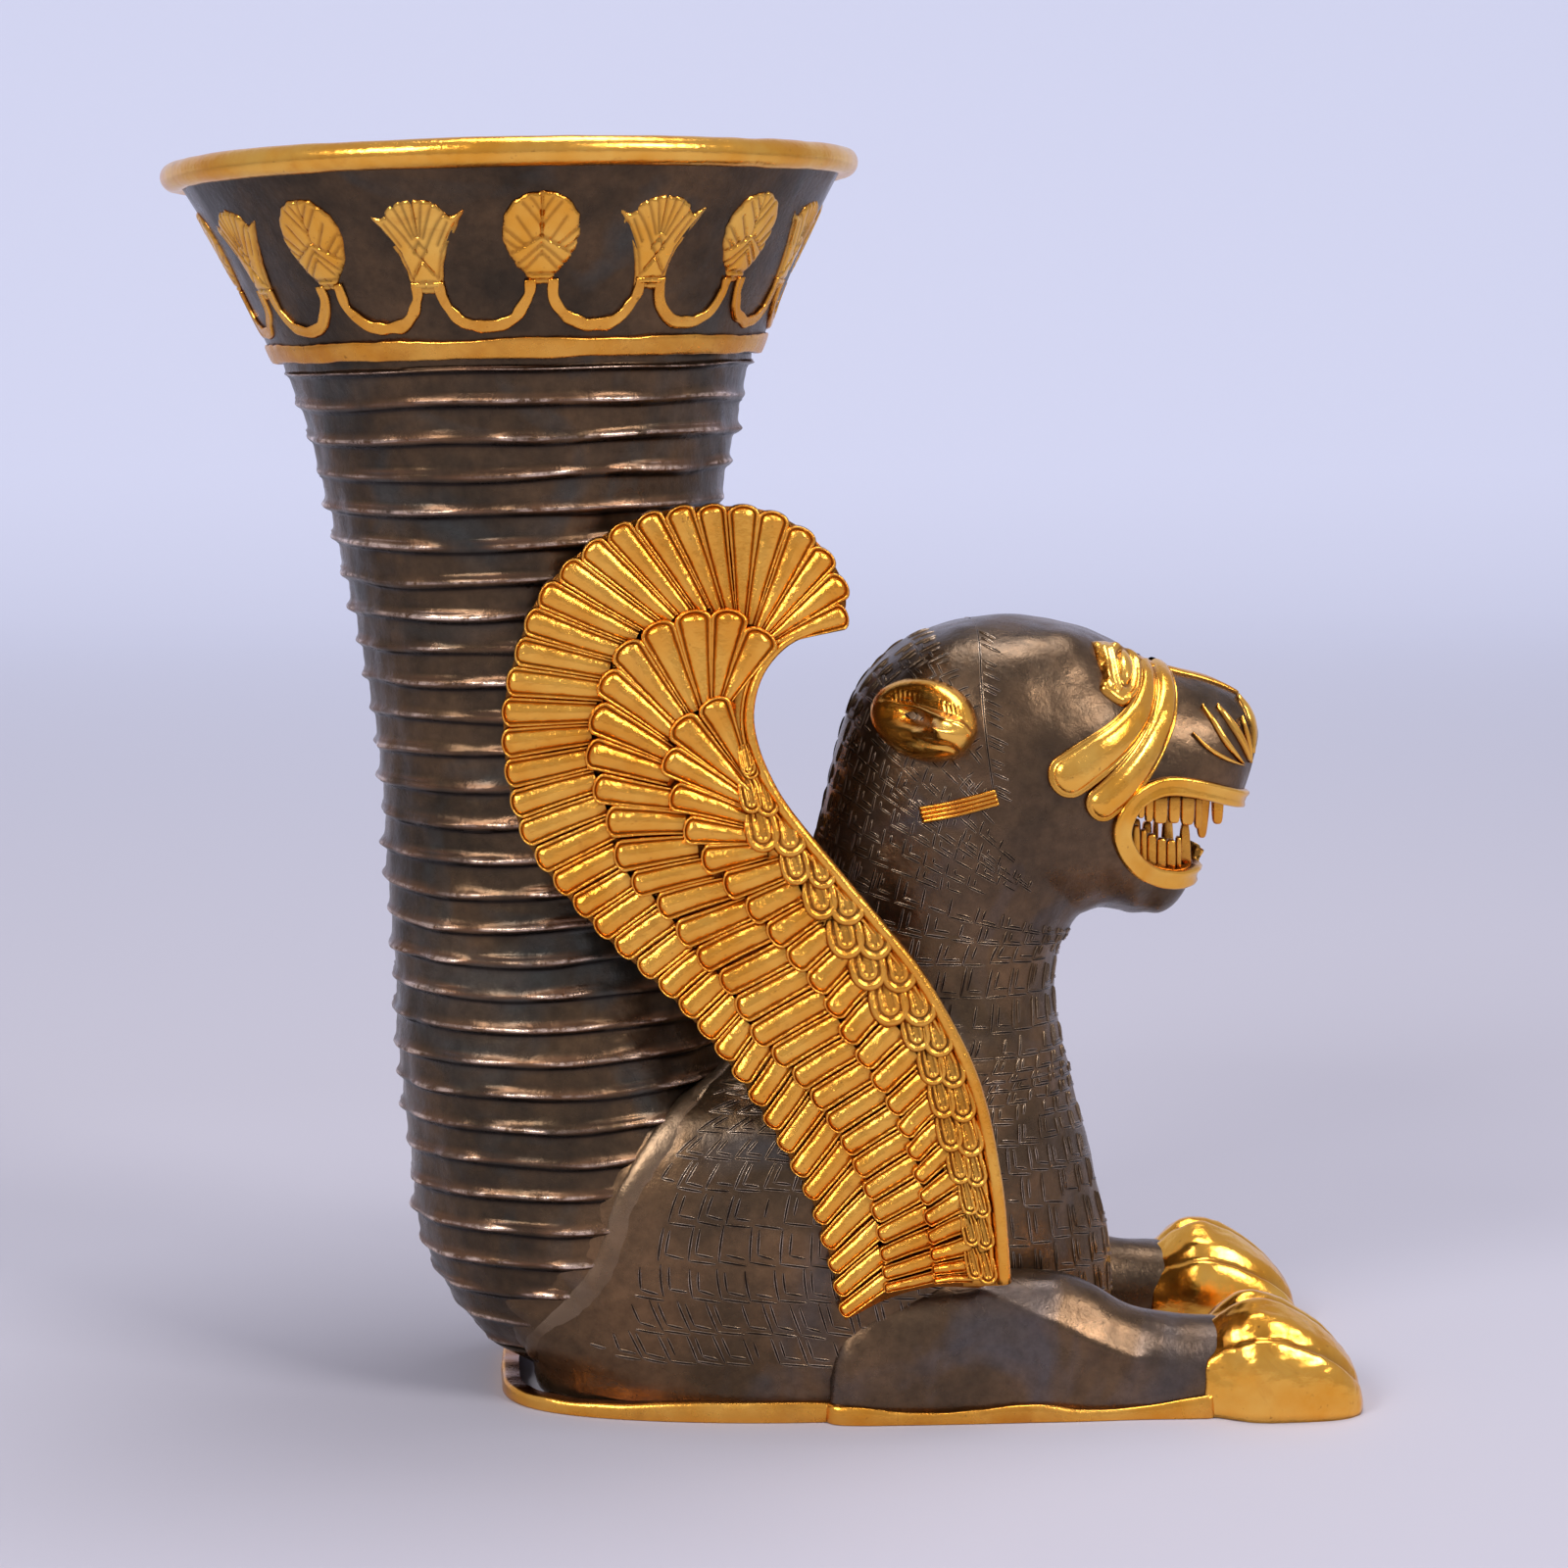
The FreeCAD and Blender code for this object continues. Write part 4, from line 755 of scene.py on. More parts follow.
def body_at(place, turn):
    """Points of the lion's skin: a place along the body from base to nose, and a turn round it."""
    row = curve_at(body_table, place)
    along = (1 - np.cos(turn)) / 2
    full = row[..., 5] + (row[..., 6] - row[..., 5]) * along
    narrow = 1 - row[..., 7] * np.maximum(2 * along - 1, 0) ** 2
    reach = -row[..., 4] * np.abs(np.sin(turn)) ** full * narrow * np.sign(np.sin(turn))
    return np.stack([row[..., 0] + (row[..., 2] - row[..., 0]) * along, reach,
                     row[..., 1] + (row[..., 3] - row[..., 1]) * along], -1)


def skin_normals(rings):
    """Outward direction at every point of a grid of rings."""
    along = np.gradient(rings, axis=0)
    around = np.roll(rings, -1, axis=1) - np.roll(rings, 1, axis=1)
    out = np.cross(around, along)
    return out / np.maximum(np.linalg.norm(out, axis=-1, keepdims=True), 1e-12)


def out_of_horn(points):
    """Draws what would stand inside the cup back into the middle of the horn's own wall."""
    cos, sin = math.cos(CROWN_TILT), math.sin(CROWN_TILT)
    x, z = points[..., 0] - JOINT_PLACE[0], points[..., 2] - JOINT_PLACE[2]
    own_x, own_z = x * cos + z * sin, z * cos - x * sin
    drift, radius = horn_line(np.clip(own_z + HORN_LENGTH, 0.0, HORN_LENGTH))
    off_x, off_y = own_x - drift, points[..., 1]
    far = np.maximum(np.hypot(off_x, off_y), 1e-9)
    wall = radius - FLUTE_DEPTH - SHEET_WALL / 2
    moved_x, moved_y = drift + off_x * wall / far, off_y * wall / far
    held = (own_z > -HORN_LENGTH) & (far < wall)
    new_x = JOINT_PLACE[0] + moved_x * cos - own_z * sin
    new_z = JOINT_PLACE[2] + moved_x * sin + own_z * cos
    return np.stack([np.where(held, new_x, points[..., 0]), np.where(held, moved_y, points[..., 1]),
                     np.where(held, new_z, points[..., 2])], -1)


# middle, reach and push of each swelling or hollow that the hammer made
MUSCLES = (
    ((30.0, 30.0, 40.0), 20.0, 0.9), ((52.0, 20.0, 48.0), 12.0, 0.8), ((40.0, 31.0, 20.0), 9.0, -0.6),
    ((64.0, 15.0, 128.0), 6.5, -1.0), ((76.0, 12.0, 116.0), 7.0, 1.3), ((58.0, 22.0, 118.0), 8.0, 0.6),
    ((47.0, 24.0, 98.0), 10.0, 0.9), ((84.0, 6.0, 118.0), 4.0, 0.5), ((70.0, 8.0, 131.0), 4.0, -0.5),
    ((54.0, 14.0, 135.0), 5.0, 0.7), ((75.0, 8.0, 87.0), 5.0, 0.5), ((30.0, 26.0, 70.0), 14.0, -0.7),
)
body_seats = np.linspace(0.0, body_end, int(body_end / MM * BODY_ROWS_PER_MM))
body_turns = np.arange(BODY_STEPS) * 2 * math.pi / BODY_STEPS
body_rings = body_at(body_seats[:, None], body_turns[None, :])
body_out = skin_normals(body_rings)
push = 0.16 * MM * waves(body_rings / MM, 14.0, 51) + 0.07 * MM * waves(body_rings / MM, 6.0, 52)
for middle, reach, height in MUSCLES:
    for side in (-1, 1):
        spot = np.array(middle) * (1, side, 1) * MM
        far = np.linalg.norm(body_rings - spot, axis=-1) / (reach * MM)
        push = push + height * MM * np.exp(-far ** 2)
body_rings = body_rings + body_out * push[..., None]

# The lower jaw is drawn back under the upper one, most at the chin
JAW_BACK = 3.4 * MM
JAW_TOP, JAW_FALL = 103.5 * MM, 8.5 * MM
JAW_HINGE, JAW_REACH = 61.0 * MM, 16.0 * MM


def eased(share):
    """A share held between nought and one that starts and ends softly."""
    share = np.clip(share, 0.0, 1.0)
    return share ** 2 * (3 - 2 * share)


low_share = eased((JAW_TOP - body_rings[..., 2]) / JAW_FALL)
front_share = eased((body_rings[..., 0] - JAW_HINGE) / JAW_REACH)
body_rings[..., 0] -= JAW_BACK * low_share * front_share
whole_skin = BVHTree.FromPolygons(body_rings.reshape(-1, 3).tolist(),
                                  capped_faces(len(body_rings), BODY_STEPS))

STROKE_WIDTH = 0.66 * MM
STROKE_BURR = 0.22 * MM
STROKE_PROUD = 0.09 * MM
# across a chased line, height of its burrs
STROKE_SHARES = ((-1.0, -0.6), (-0.68, 1.0), (-0.34, 0.08), (0.34, 0.08), (0.68, 1.0), (1.0, -0.6))


def chased(lines, width=STROKE_WIDTH, burr=STROKE_BURR):
    """Lines driven in with a tracer: each a furrow between two burrs, the furrow darkened with painted
    shade and the burrs lightened, partly as a painted highlight. A line is given as points on the skin and the
    directions that stand out from it."""
    parts = []
    for points, out in lines:
        way = np.gradient(points, axis=0)
        side = np.cross(out, way)
        side /= np.maximum(np.linalg.norm(side, axis=1, keepdims=True), 1e-12)
        thin = np.sin(np.linspace(0.12, math.pi - 0.12, len(points))) ** 0.35
        rows = [points + side * (across * width / 2 * thin)[:, None]
                + out * ((STROKE_PROUD + rise * burr) * thin)[:, None] for across, rise in STROKE_SHARES]
        rings = np.stack(rows, axis=1)
        # Painted shade in the furrow; the burrs carry the worn mark, partly a painted highlight.
        sunk = np.tile([0.5, 0.0, 1.0, 1.0, 0.0, 0.5], (len(points), 1))
        worn = np.tile([0.0, 0.8, 0.0, 0.0, 0.8, 0.0], (len(points), 1))
        parts.append((rings, grid_faces(len(points), len(STROKE_SHARES), False), sunk, worn))
    return parts


def on_skin(places, turns):
    """Points and outward directions on the lion's skin at places and turns."""
    places, turns = np.asarray(places, dtype=float), np.asarray(turns, dtype=float)
    row = places / body_end * (len(body_seats) - 1)
    column = (turns / (2 * math.pi) % 1.0) * BODY_STEPS
    low_row = np.clip(row.astype(int), 0, len(body_seats) - 2)
    low_column = column.astype(int) % BODY_STEPS
    next_column = (low_column + 1) % BODY_STEPS
    up, over = (row - low_row)[:, None], (column - column.astype(int))[:, None]
    found = []
    for grid in (body_rings, body_out):
        low = grid[low_row, low_column] * (1 - over) + grid[low_row, next_column] * over
        high = grid[low_row + 1, low_column] * (1 - over) + grid[low_row + 1, next_column] * over
        found.append(low * (1 - up) + high * up)
    return found[0], found[1] / np.linalg.norm(found[1], axis=1, keepdims=True)


draw = np.random.default_rng(61)


def stroke(start, end, steps=7, jitter=0.10):
    """A straight chased line between two (place, turn) pairs, a little off true."""
    places = np.linspace(start[0], end[0], steps) + draw.normal(0, jitter * 0.3, 1) * MM
    turn_line = np.linspace(start[1], end[1], steps) + draw.normal(0, jitter * 0.004, 1)
    return on_skin(np.clip(places, 0, body_end - 1e-6), turn_line)


CELL_RISE = 6.6 * MM
CELL_REACH = 4.9 * MM
CELL_INSET = 1.35 * MM
COAT_START = 11.0 * MM


def coat_row(place, rise, reach, start, steep, side):
    """Cells side by side in a row that falls toward the chest: each an L with a smaller one in it."""
    turn_table = np.linspace(0.04, math.pi - 0.04, 240)
    points = body_at(np.full(240, place), turn_table)
    runs = np.concatenate([[0.0], np.cumsum(np.linalg.norm(np.diff(points, axis=0), axis=1))])

    def corner(up, run):
        return up, float(np.interp(run, runs, turn_table)) * side

    lines = []
    cursor = start
    while cursor + reach < runs[-1]:
        inset = CELL_INSET * draw.uniform(0.8, 1.15)
        low = place - steep * (1 - math.exp(-cursor / (24 * MM))) + draw.uniform(-0.3, 0.3) * MM
        high = low + rise * draw.uniform(0.84, 0.96)
        lean = steep * 0.17 * math.exp(-cursor / (26 * MM)) + draw.uniform(-0.2, 0.2) * MM
        fall = 0.10 * steep + draw.uniform(-0.25, 0.25) * MM
        if draw.random() < 0.94:
            lines.append(stroke(corner(low, cursor), corner(high, cursor + lean)))
        if draw.random() < 0.90:
            lines.append(stroke(corner(low, cursor), corner(low - fall, cursor + reach * draw.uniform(0.82, 0.97))))
        if draw.random() < 0.90:
            lines.append(stroke(corner(low + inset, cursor + inset),
                                corner(high - inset * 0.4, cursor + inset + lean), 6))
        if draw.random() < 0.84:
            lines.append(stroke(corner(low + inset, cursor + inset),
                                corner(low + inset - fall, cursor + reach * draw.uniform(0.78, 0.90)), 5))
        cursor += reach
    return lines


coat_lines = []
course = 0
place = COAT_START
while place < neck_place + 10.0 * MM:
    rise = CELL_RISE * draw.uniform(0.94, 1.06)
    reach = CELL_REACH * draw.uniform(0.95, 1.05)
    steep = (9.0 - 6.5 * min(place / neck_place, 1.0)) * MM
    for side in (-1, 1):
        start = (course % 2) * reach / 2 + draw.uniform(0.0, 0.6) * MM
        coat_lines += coat_row(place, rise, reach, start, steep, side)
    place += rise
    course += 1
COAT_FOOT = 8.0 * MM
coat_lines = [line for line in coat_lines if line[0][:, 2].min() > COAT_FOOT]

neck_index = int(np.searchsorted(body_seats, neck_place))
HIDDEN_LAP = 0.12 * MM
lap_ring = body_rings[neck_index + 2:neck_index + 3] - body_out[neck_index + 2:neck_index + 3] * HIDDEN_LAP
trunk_rings = out_of_horn(np.concatenate([body_rings[:neck_index + 1], lap_ring]))
trunk_parts = [(trunk_rings, capped_faces(len(trunk_rings), BODY_STEPS), np.zeros(trunk_rings.shape[:2]))]


SOLDER_ROOM = 3.0 * MM


def horn_gap(points):
    """How far points stand off the horn's lips."""
    cos, sin = math.cos(CROWN_TILT), math.sin(CROWN_TILT)
    x, z = points[..., 0] - JOINT_PLACE[0], points[..., 2] - JOINT_PLACE[2]
    own_z = z * cos - x * sin
    drift, radius = horn_line(np.clip(own_z + HORN_LENGTH, 0.0, HORN_LENGTH))
    return np.hypot(x * cos + z * sin - drift, points[..., 1]) - radius


def clear_of_horn(line):
    """Whether a chased line lies clear of the horn and of the solder along it."""
    return horn_gap(line[0]).min() > SOLDER_ROOM


trunk_parts += chased([line for line in coat_lines if clear_of_horn(line)])

# Solder along the joint with the horn, filed to a pale uneven fillet
SEAM_WIDTH = 5.2 * MM
SEAM_LIFT = 0.40 * MM
SEAM_START, SEAM_END_SHARE = 7.0 * MM, 0.74
SEAM_PLACES, FAN_STEPS, SEAM_PASSES = 200, 400, 60
# across the seam, height
SEAM_SHARES = ((-1.0, -1.6), (-0.85, -0.2), (-0.5, 0.7), (-0.1, 1.0), (0.3, 0.75), (0.65, 0.35),
               (0.9, 0.0), (1.0, -0.8))
for side in (-1, 1):
    seam, seam_out = [], []
    for place in np.linspace(SEAM_START, neck_place * SEAM_END_SHARE, SEAM_PLACES):
        fan = np.linspace(0.02, 2.2, FAN_STEPS) * side
        on, out = on_skin(np.full(FAN_STEPS, place), fan)
        gap = horn_gap(on)
        if gap[0] < 0 < gap[-1]:
            first = int(np.argmax(gap > 0))
            seam.append(on[first])
            seam_out.append(out[first])
    seam, seam_out = np.array(seam), np.array(seam_out)
    for _ in range(SEAM_PASSES):
        seam[1:-1] = seam[1:-1] * 0.5 + (seam[:-2] + seam[2:]) * 0.25
        seam_out[1:-1] = seam_out[1:-1] * 0.5 + (seam_out[:-2] + seam_out[2:]) * 0.25
    horn_way = np.cross(np.gradient(seam, axis=0), seam_out)
    horn_way /= np.linalg.norm(horn_way, axis=1, keepdims=True)
    ends = np.sin(np.linspace(0.25, math.pi - 0.1, len(seam)))[:, None] ** 0.3
    uneven = ends * (1 + 0.10 * waves(seam / MM, 9.0, 95)[:, None] + 0.05 * waves(seam / MM, 3.0, 96)[:, None])
    rows = [seam + side * horn_way * (across + 0.35) * uneven * SEAM_WIDTH / 2 + seam_out * height * SEAM_LIFT
            for across, height in SEAM_SHARES]
    seam_rings = np.stack(rows, axis=1)
    shape = seam_rings.shape[:2]
    trunk_parts.append((seam_rings, capped_faces(*shape), np.zeros(shape), np.full(shape, 0.40)))

# Vent: a hole low on the right flank that lets the air out when the base is soldered on
VENT_PLACE, VENT_TURN = 6.4 * MM, -1.72
VENT_RADIUS = 0.95 * MM
VENT_STEPS = 20
# radius, height, painted shade
VENT_SHARES = ((1.25, -0.4, 0.5), (1.15, 0.06, 0.3), (0.95, 0.10, 0.4), (0.75, -0.10, 1.0), (0.55, -0.10, 1.0))
middle, out = on_skin(np.array([VENT_PLACE]), np.array([VENT_TURN]))
middle, out = middle[0], out[0]
across = np.cross(out, (0.0, 0.0, 1.0))
across /= np.linalg.norm(across)
up_way = np.cross(across, out)
vent_turns = np.arange(VENT_STEPS) * 2 * math.pi / VENT_STEPS
vent_rings = np.array([middle + radius * VENT_RADIUS * (np.cos(vent_turns)[:, None] * across
                                                        + np.sin(vent_turns)[:, None] * up_way)
                       + out * (0.3 * MM + height * VENT_RADIUS) for radius, height, _ in VENT_SHARES])
# The hole is not cut: its dark inside is painted shade on a shallow dish.
vent_shade = np.repeat([[share[2]] for share in VENT_SHARES], VENT_STEPS, axis=1)
trunk_parts.append((vent_rings, capped_faces(len(vent_rings), VENT_STEPS), vent_shade))
trunk = join_parts("lion_trunk", trunk_parts)
body_silver = oxidised_silver("body_silver_finish", (0.110, 0.070, 0.038), (0.220, 0.125, 0.062),
                              (0.105, 0.100, 0.098), (0.27, 0.185, 0.115), (0.80, 0.66, 0.55))
trunk.data.materials.append(body_silver)
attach(trunk, "root")
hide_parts("trunk_shell")


# Head: raised from one silver sheet with its jaws open, smooth on the face, and chased with small
# cells behind a ruff line that runs from the top of the skull to below the ears.
# edge of the open mouth in millimetres of side view, from the upper lip round the corner
MOUTH_LINE = ((86.0, 103.5), (82.0, 104.6), (79.4, 105.4), (76.8, 106.2), (73.4, 107.0), (70.1, 107.4),
              (67.3, 107.1), (65.1, 106.2), (63.6, 104.9), (62.6, 103.1), (62.4, 101.0), (63.3, 98.9),
              (64.8, 96.9), (66.9, 95.2), (69.2, 94.2), (72.3, 93.6), (75.3, 93.7), (77.5, 94.0),
              (80.5, 94.6))
LIP_WIDTH = 3.4 * MM
NAPE_PITCH = 4.4 * MM
NAPE_STROKE_WIDTH, NAPE_STROKE_BURR = 0.58 * MM, 0.19 * MM
# height, front end of the ruff there, in millimetres of side view
RUFF_LINE = ((84.0, 58.0), (88.0, 52.0), (92.0, 46.5), (100.0, 41.0), (108.0, 38.0), (118.0, 36.6),
             (128.0, 36.2), (138.0, 36.8))
MOUTH_STEPS = 84
mouth_edge = smooth_line(np.array(MOUTH_LINE) * MM, MOUTH_STEPS)
mouth_end = 100.0 * MM               # ahead of the nose, so that the cut runs out
mouth_ring = np.concatenate([[(mouth_end, mouth_edge[0][1])], mouth_edge, [(mouth_end, mouth_edge[-1][1])]])
cutter_rings = np.array([[(x, side * FLANK_HALF_WIDTH, z) for x, z in mouth_ring] for side in (1, -1)])
mouth_cutter = make_piece("mouth_cutter", cutter_rings, capped_faces(2, len(mouth_ring)))

lap_ring = body_rings[neck_index - 2:neck_index - 1] - body_out[neck_index - 2:neck_index - 1] * HIDDEN_LAP
head_rings = np.concatenate([lap_ring, body_rings[neck_index:]])
skull = join_parts("lion_skull", [(head_rings, capped_faces(len(head_rings), BODY_STEPS),
                                   np.zeros(head_rings.shape[:2]))])
for block in (skull, mouth_cutter):
    loose = bmesh.new()
    loose.from_mesh(block.data)
    bmesh.ops.recalc_face_normals(loose, faces=loose.faces)
    loose.to_mesh(block.data)
    loose.free()
jaws = skull.modifiers.new("jaws", "BOOLEAN")
jaws.operation = "DIFFERENCE"
jaws.solver = "EXACT"
jaws.object = mouth_cutter
bpy.context.view_layer.update()
opened = bpy.data.meshes.new_from_object(skull.evaluated_get(bpy.context.evaluated_depsgraph_get()))
bpy.data.objects.remove(skull)
bpy.data.objects.remove(mouth_cutter)

nape_lines = []
place = neck_place + 8.0 * MM
while place < body_end * 0.72:
    for side in (-1, 1):
        start = draw.uniform(0.0, 1.0) * NAPE_PITCH
        rise, reach = NAPE_PITCH * draw.uniform(0.9, 1.1), NAPE_PITCH * draw.uniform(0.85, 1.1)
        nape_lines += coat_row(place, rise, reach, start, draw.uniform(-1.5, 2.5) * MM, side)
    place += NAPE_PITCH
NAPE_FOOT = 91.0 * MM
ruff_z, ruff_x = np.array(RUFF_LINE).T * MM
nape_lines = [line for line in nape_lines if line[0][:, 2].min() > NAPE_FOOT
              and (line[0][:, 0] < np.interp(line[0][:, 2], ruff_z, ruff_x) - 0.5 * MM).all()]


def on_head(x, z, lift, side):
    """Places points, given in side view, on one side of the head at a lift above its skin."""
    x, z, lift = np.broadcast_arrays(x, z, lift)
    found = np.empty(x.shape + (3,))
    for index in np.ndindex(x.shape):
        start = Vector((x[index], side * 60 * MM, z[index]))
        spot, out, _, _ = whole_skin.ray_cast(start, Vector((0, -side, 0)))
        if spot is None or spot.y * side < 0:
            spot, out, _, _ = whole_skin.find_nearest(Vector((x[index], side * 2.0 * MM, z[index])))
        found[index] = spot + out * lift[index]
    return found


def head_stroke(points, side, steps=12):
    """A chased line on the face, given as (x, z) points of side view in millimetres."""
    line = smooth_line(np.array(points) * MM, steps)
    at_skin = on_head(line[:, 0], line[:, 1], 0.0, side)
    above = on_head(line[:, 0], line[:, 1], 1.0 * MM, side)
    out = above - at_skin
    return at_skin, out / np.linalg.norm(out, axis=1, keepdims=True)


for side in (-1, 1):
    nape_lines.append(head_stroke([(x, z) for z, x in RUFF_LINE[4:]][::-1], side, 30))
    for step in range(14):
        level = 108.5 + step * 2.1 + draw.uniform(-0.4, 0.4)
        front = float(np.interp(level, *np.array(RUFF_LINE).T))
        tick = draw.uniform(2.6, 3.8)
        nape_lines.append(head_stroke(((front + 0.3, level), (front + tick, level - tick * 0.42)), side, 6))
        if step % 2:
            level -= 0.9
            nape_lines.append(head_stroke(((front + 0.4, level), (front + tick * 0.8, level - tick * 0.34)),
                                          side, 5))
head_parts = [(np.array([vertex.co for vertex in opened.vertices]),
               [list(face.vertices) for face in opened.polygons], np.zeros(len(opened.vertices)))]
head_parts += chased(nape_lines, NAPE_STROKE_WIDTH, NAPE_STROKE_BURR)
head = join_parts("lion_head", head_parts)
face_silver = oxidised_silver("face_silver_finish", (0.095, 0.062, 0.038), (0.190, 0.112, 0.060),
                              (0.115, 0.110, 0.122), (0.27, 0.185, 0.115), (0.80, 0.66, 0.55))
head.data.materials.append(face_silver)
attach(head, "root")
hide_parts("head_shell")


# Lips: a gilt band laid round the open mouth, hollowed along its middle and rolled at both edges,
# and soldered to the jaws.
LIP_LIFT = 1.35 * MM
# across the lip from the mouth outward, height
LIP_SHARES = ((0.0, -0.9), (0.0, 0.35), (0.06, 0.78), (0.18, 0.86), (0.36, 0.68), (0.58, 0.72), (0.80, 0.98),
              (0.92, 0.90), (1.0, 0.40), (1.0, -0.9))
lip_sides = -sides_of(mouth_edge)
lip_parts = []
for side in (-1, 1):
    rows = []
    for across, height in LIP_SHARES:
        flat = mouth_edge + lip_sides * (across * LIP_WIDTH)
        rows.append(on_head(flat[:, 0], flat[:, 1], height * LIP_LIFT, side))
    rings = np.stack(rows, axis=1)
    # Painted shade along both edges of the lip band.
    sunk = np.tile([0.9, 0.5, 0.0, 0.0, 0.05, 0.05, 0.0, 0.0, 0.6, 0.9], (len(mouth_edge), 1))
    lip_parts.append((rings, capped_faces(len(mouth_edge), len(LIP_SHARES)), sunk))
lips = join_parts("gilt_lips", lip_parts)
lips.data.materials.append(bright_gilt)
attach(lips, "root")
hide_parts("lip_band")


# Muzzle folds: two gilt lobes on each cheek, narrow at the bridge of the nose and swollen behind
# the corner of the mouth, as a snarling cat draws up its skin.
# along the middle of the fold in millimetres of side view, half width
UPPER_FOLD = ((67.2, 129.4, 1.4), (66.6, 126.4, 1.8), (64.6, 122.6, 2.5), (61.0, 118.9, 3.1),
              (57.0, 115.9, 3.6), (53.2, 113.4, 3.9), (50.9, 111.9, 3.9))
LOWER_FOLD = ((70.3, 129.3, 1.6), (70.2, 125.6, 2.0), (68.8, 121.0, 2.5), (66.0, 116.2, 2.9),
              (62.6, 112.0, 3.2), (59.2, 108.7, 3.3), (56.9, 106.9, 3.2))
FOLD_LIFT = 1.9 * MM
# way in from the edge to the middle, height
FOLD_SHARES = ((0.0, -0.6), (0.0, 0.30), (0.05, 0.42), (0.14, 0.40), (0.20, 0.34), (0.30, 0.60), (0.45, 0.84),
               (0.65, 0.97), (1.0, 1.0))


def leaf(axis, half_widths, nose, section, side_steps, nose_steps):
    """Grid of a form that is open at its root and rounded at its tip. Rows go in from the edge to
    the axis by the section's shares, and columns go from the root round the tip and back.
    Returns flat points, way in from the edge, and way along the axis for every grid point."""
    table = np.concatenate([np.asarray(axis), np.asarray(half_widths)[:, None]], axis=1)
    line = smooth_line(table, side_steps)
    spine, reach = line[:, :2], line[:, 2]
    sides = sides_of(spine)
    end_way = np.array([sides[-1, 1], -sides[-1, 0]])
    angles = np.linspace(math.pi / 2, -math.pi / 2, nose_steps + 2)[1:-1]
    cap = spine[-1] + np.cos(angles)[:, None] * end_way * nose + np.sin(angles)[:, None] * sides[-1] * reach[-1]
    edge = np.concatenate([spine + sides * reach[:, None], cap, (spine - sides * reach[:, None])[::-1]])
    core = np.concatenate([spine, np.repeat(spine[-1:], nose_steps, axis=0), spine[::-1]])
    along = np.concatenate([np.linspace(0, 1, side_steps), np.ones(nose_steps), np.linspace(1, 0, side_steps)])
    ways_in = np.array([share for share, _ in section])[:, None, None]
    flat = edge * (1 - ways_in) + core * ways_in
    return flat, np.broadcast_to(ways_in[..., 0], flat.shape[:2]), np.broadcast_to(along, flat.shape[:2])


for side, side_name in ((-1, "right"), (1, "left")):
    fold_parts = []
    for rows in (LOWER_FOLD, UPPER_FOLD):
        rows = np.array(rows) * MM
        flat, way_in, along = leaf(rows[:, :2], rows[:, 2], rows[-1, 2] * 0.95, FOLD_SHARES, 30, 14)
        heights = np.array([height for _, height in FOLD_SHARES])[:, None]
        lift = heights * FOLD_LIFT * (0.62 + 0.38 * along) + 0.10 * MM
        points = on_head(flat[..., 0], flat[..., 1], lift, side)
        # Painted shade along the fold's edge and in the groove inside it.
        sunk = np.exp(-(way_in / 0.07) ** 2) * 0.75 + 0.30 * np.exp(-((way_in - 0.19) / 0.05) ** 2)
        faces = grid_faces(len(FOLD_SHARES), flat.shape[1], False)
        fold_parts.append((points, faces, sunk))
    folds = join_parts("gilt_folds_" + side_name, fold_parts)
    folds.data.materials.append(bright_gilt)
    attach(folds, "root")
    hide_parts("muzzle_folds_" + side_name)


# Eyes: each a gilt shield let into the face, with the eyeball swelling in it and two creases of
# the brow behind.
EYE_OUTLINE = ((56.8, 134.0), (59.8, 133.6), (62.4, 132.2), (65.2, 130.2), (65.0, 127.8), (64.1, 125.0),
               (61.6, 123.2), (58.8, 124.5), (57.1, 126.3), (57.8, 128.6), (57.1, 131.3))
EYE_LIFT = 0.9 * MM
EYE_GRAIN = 0.24 * MM
# middle, reach along, reach up, height of each swelling
EYE_SWELLS = (((61.9, 129.0), 1.35, 2.5, 1.20),)
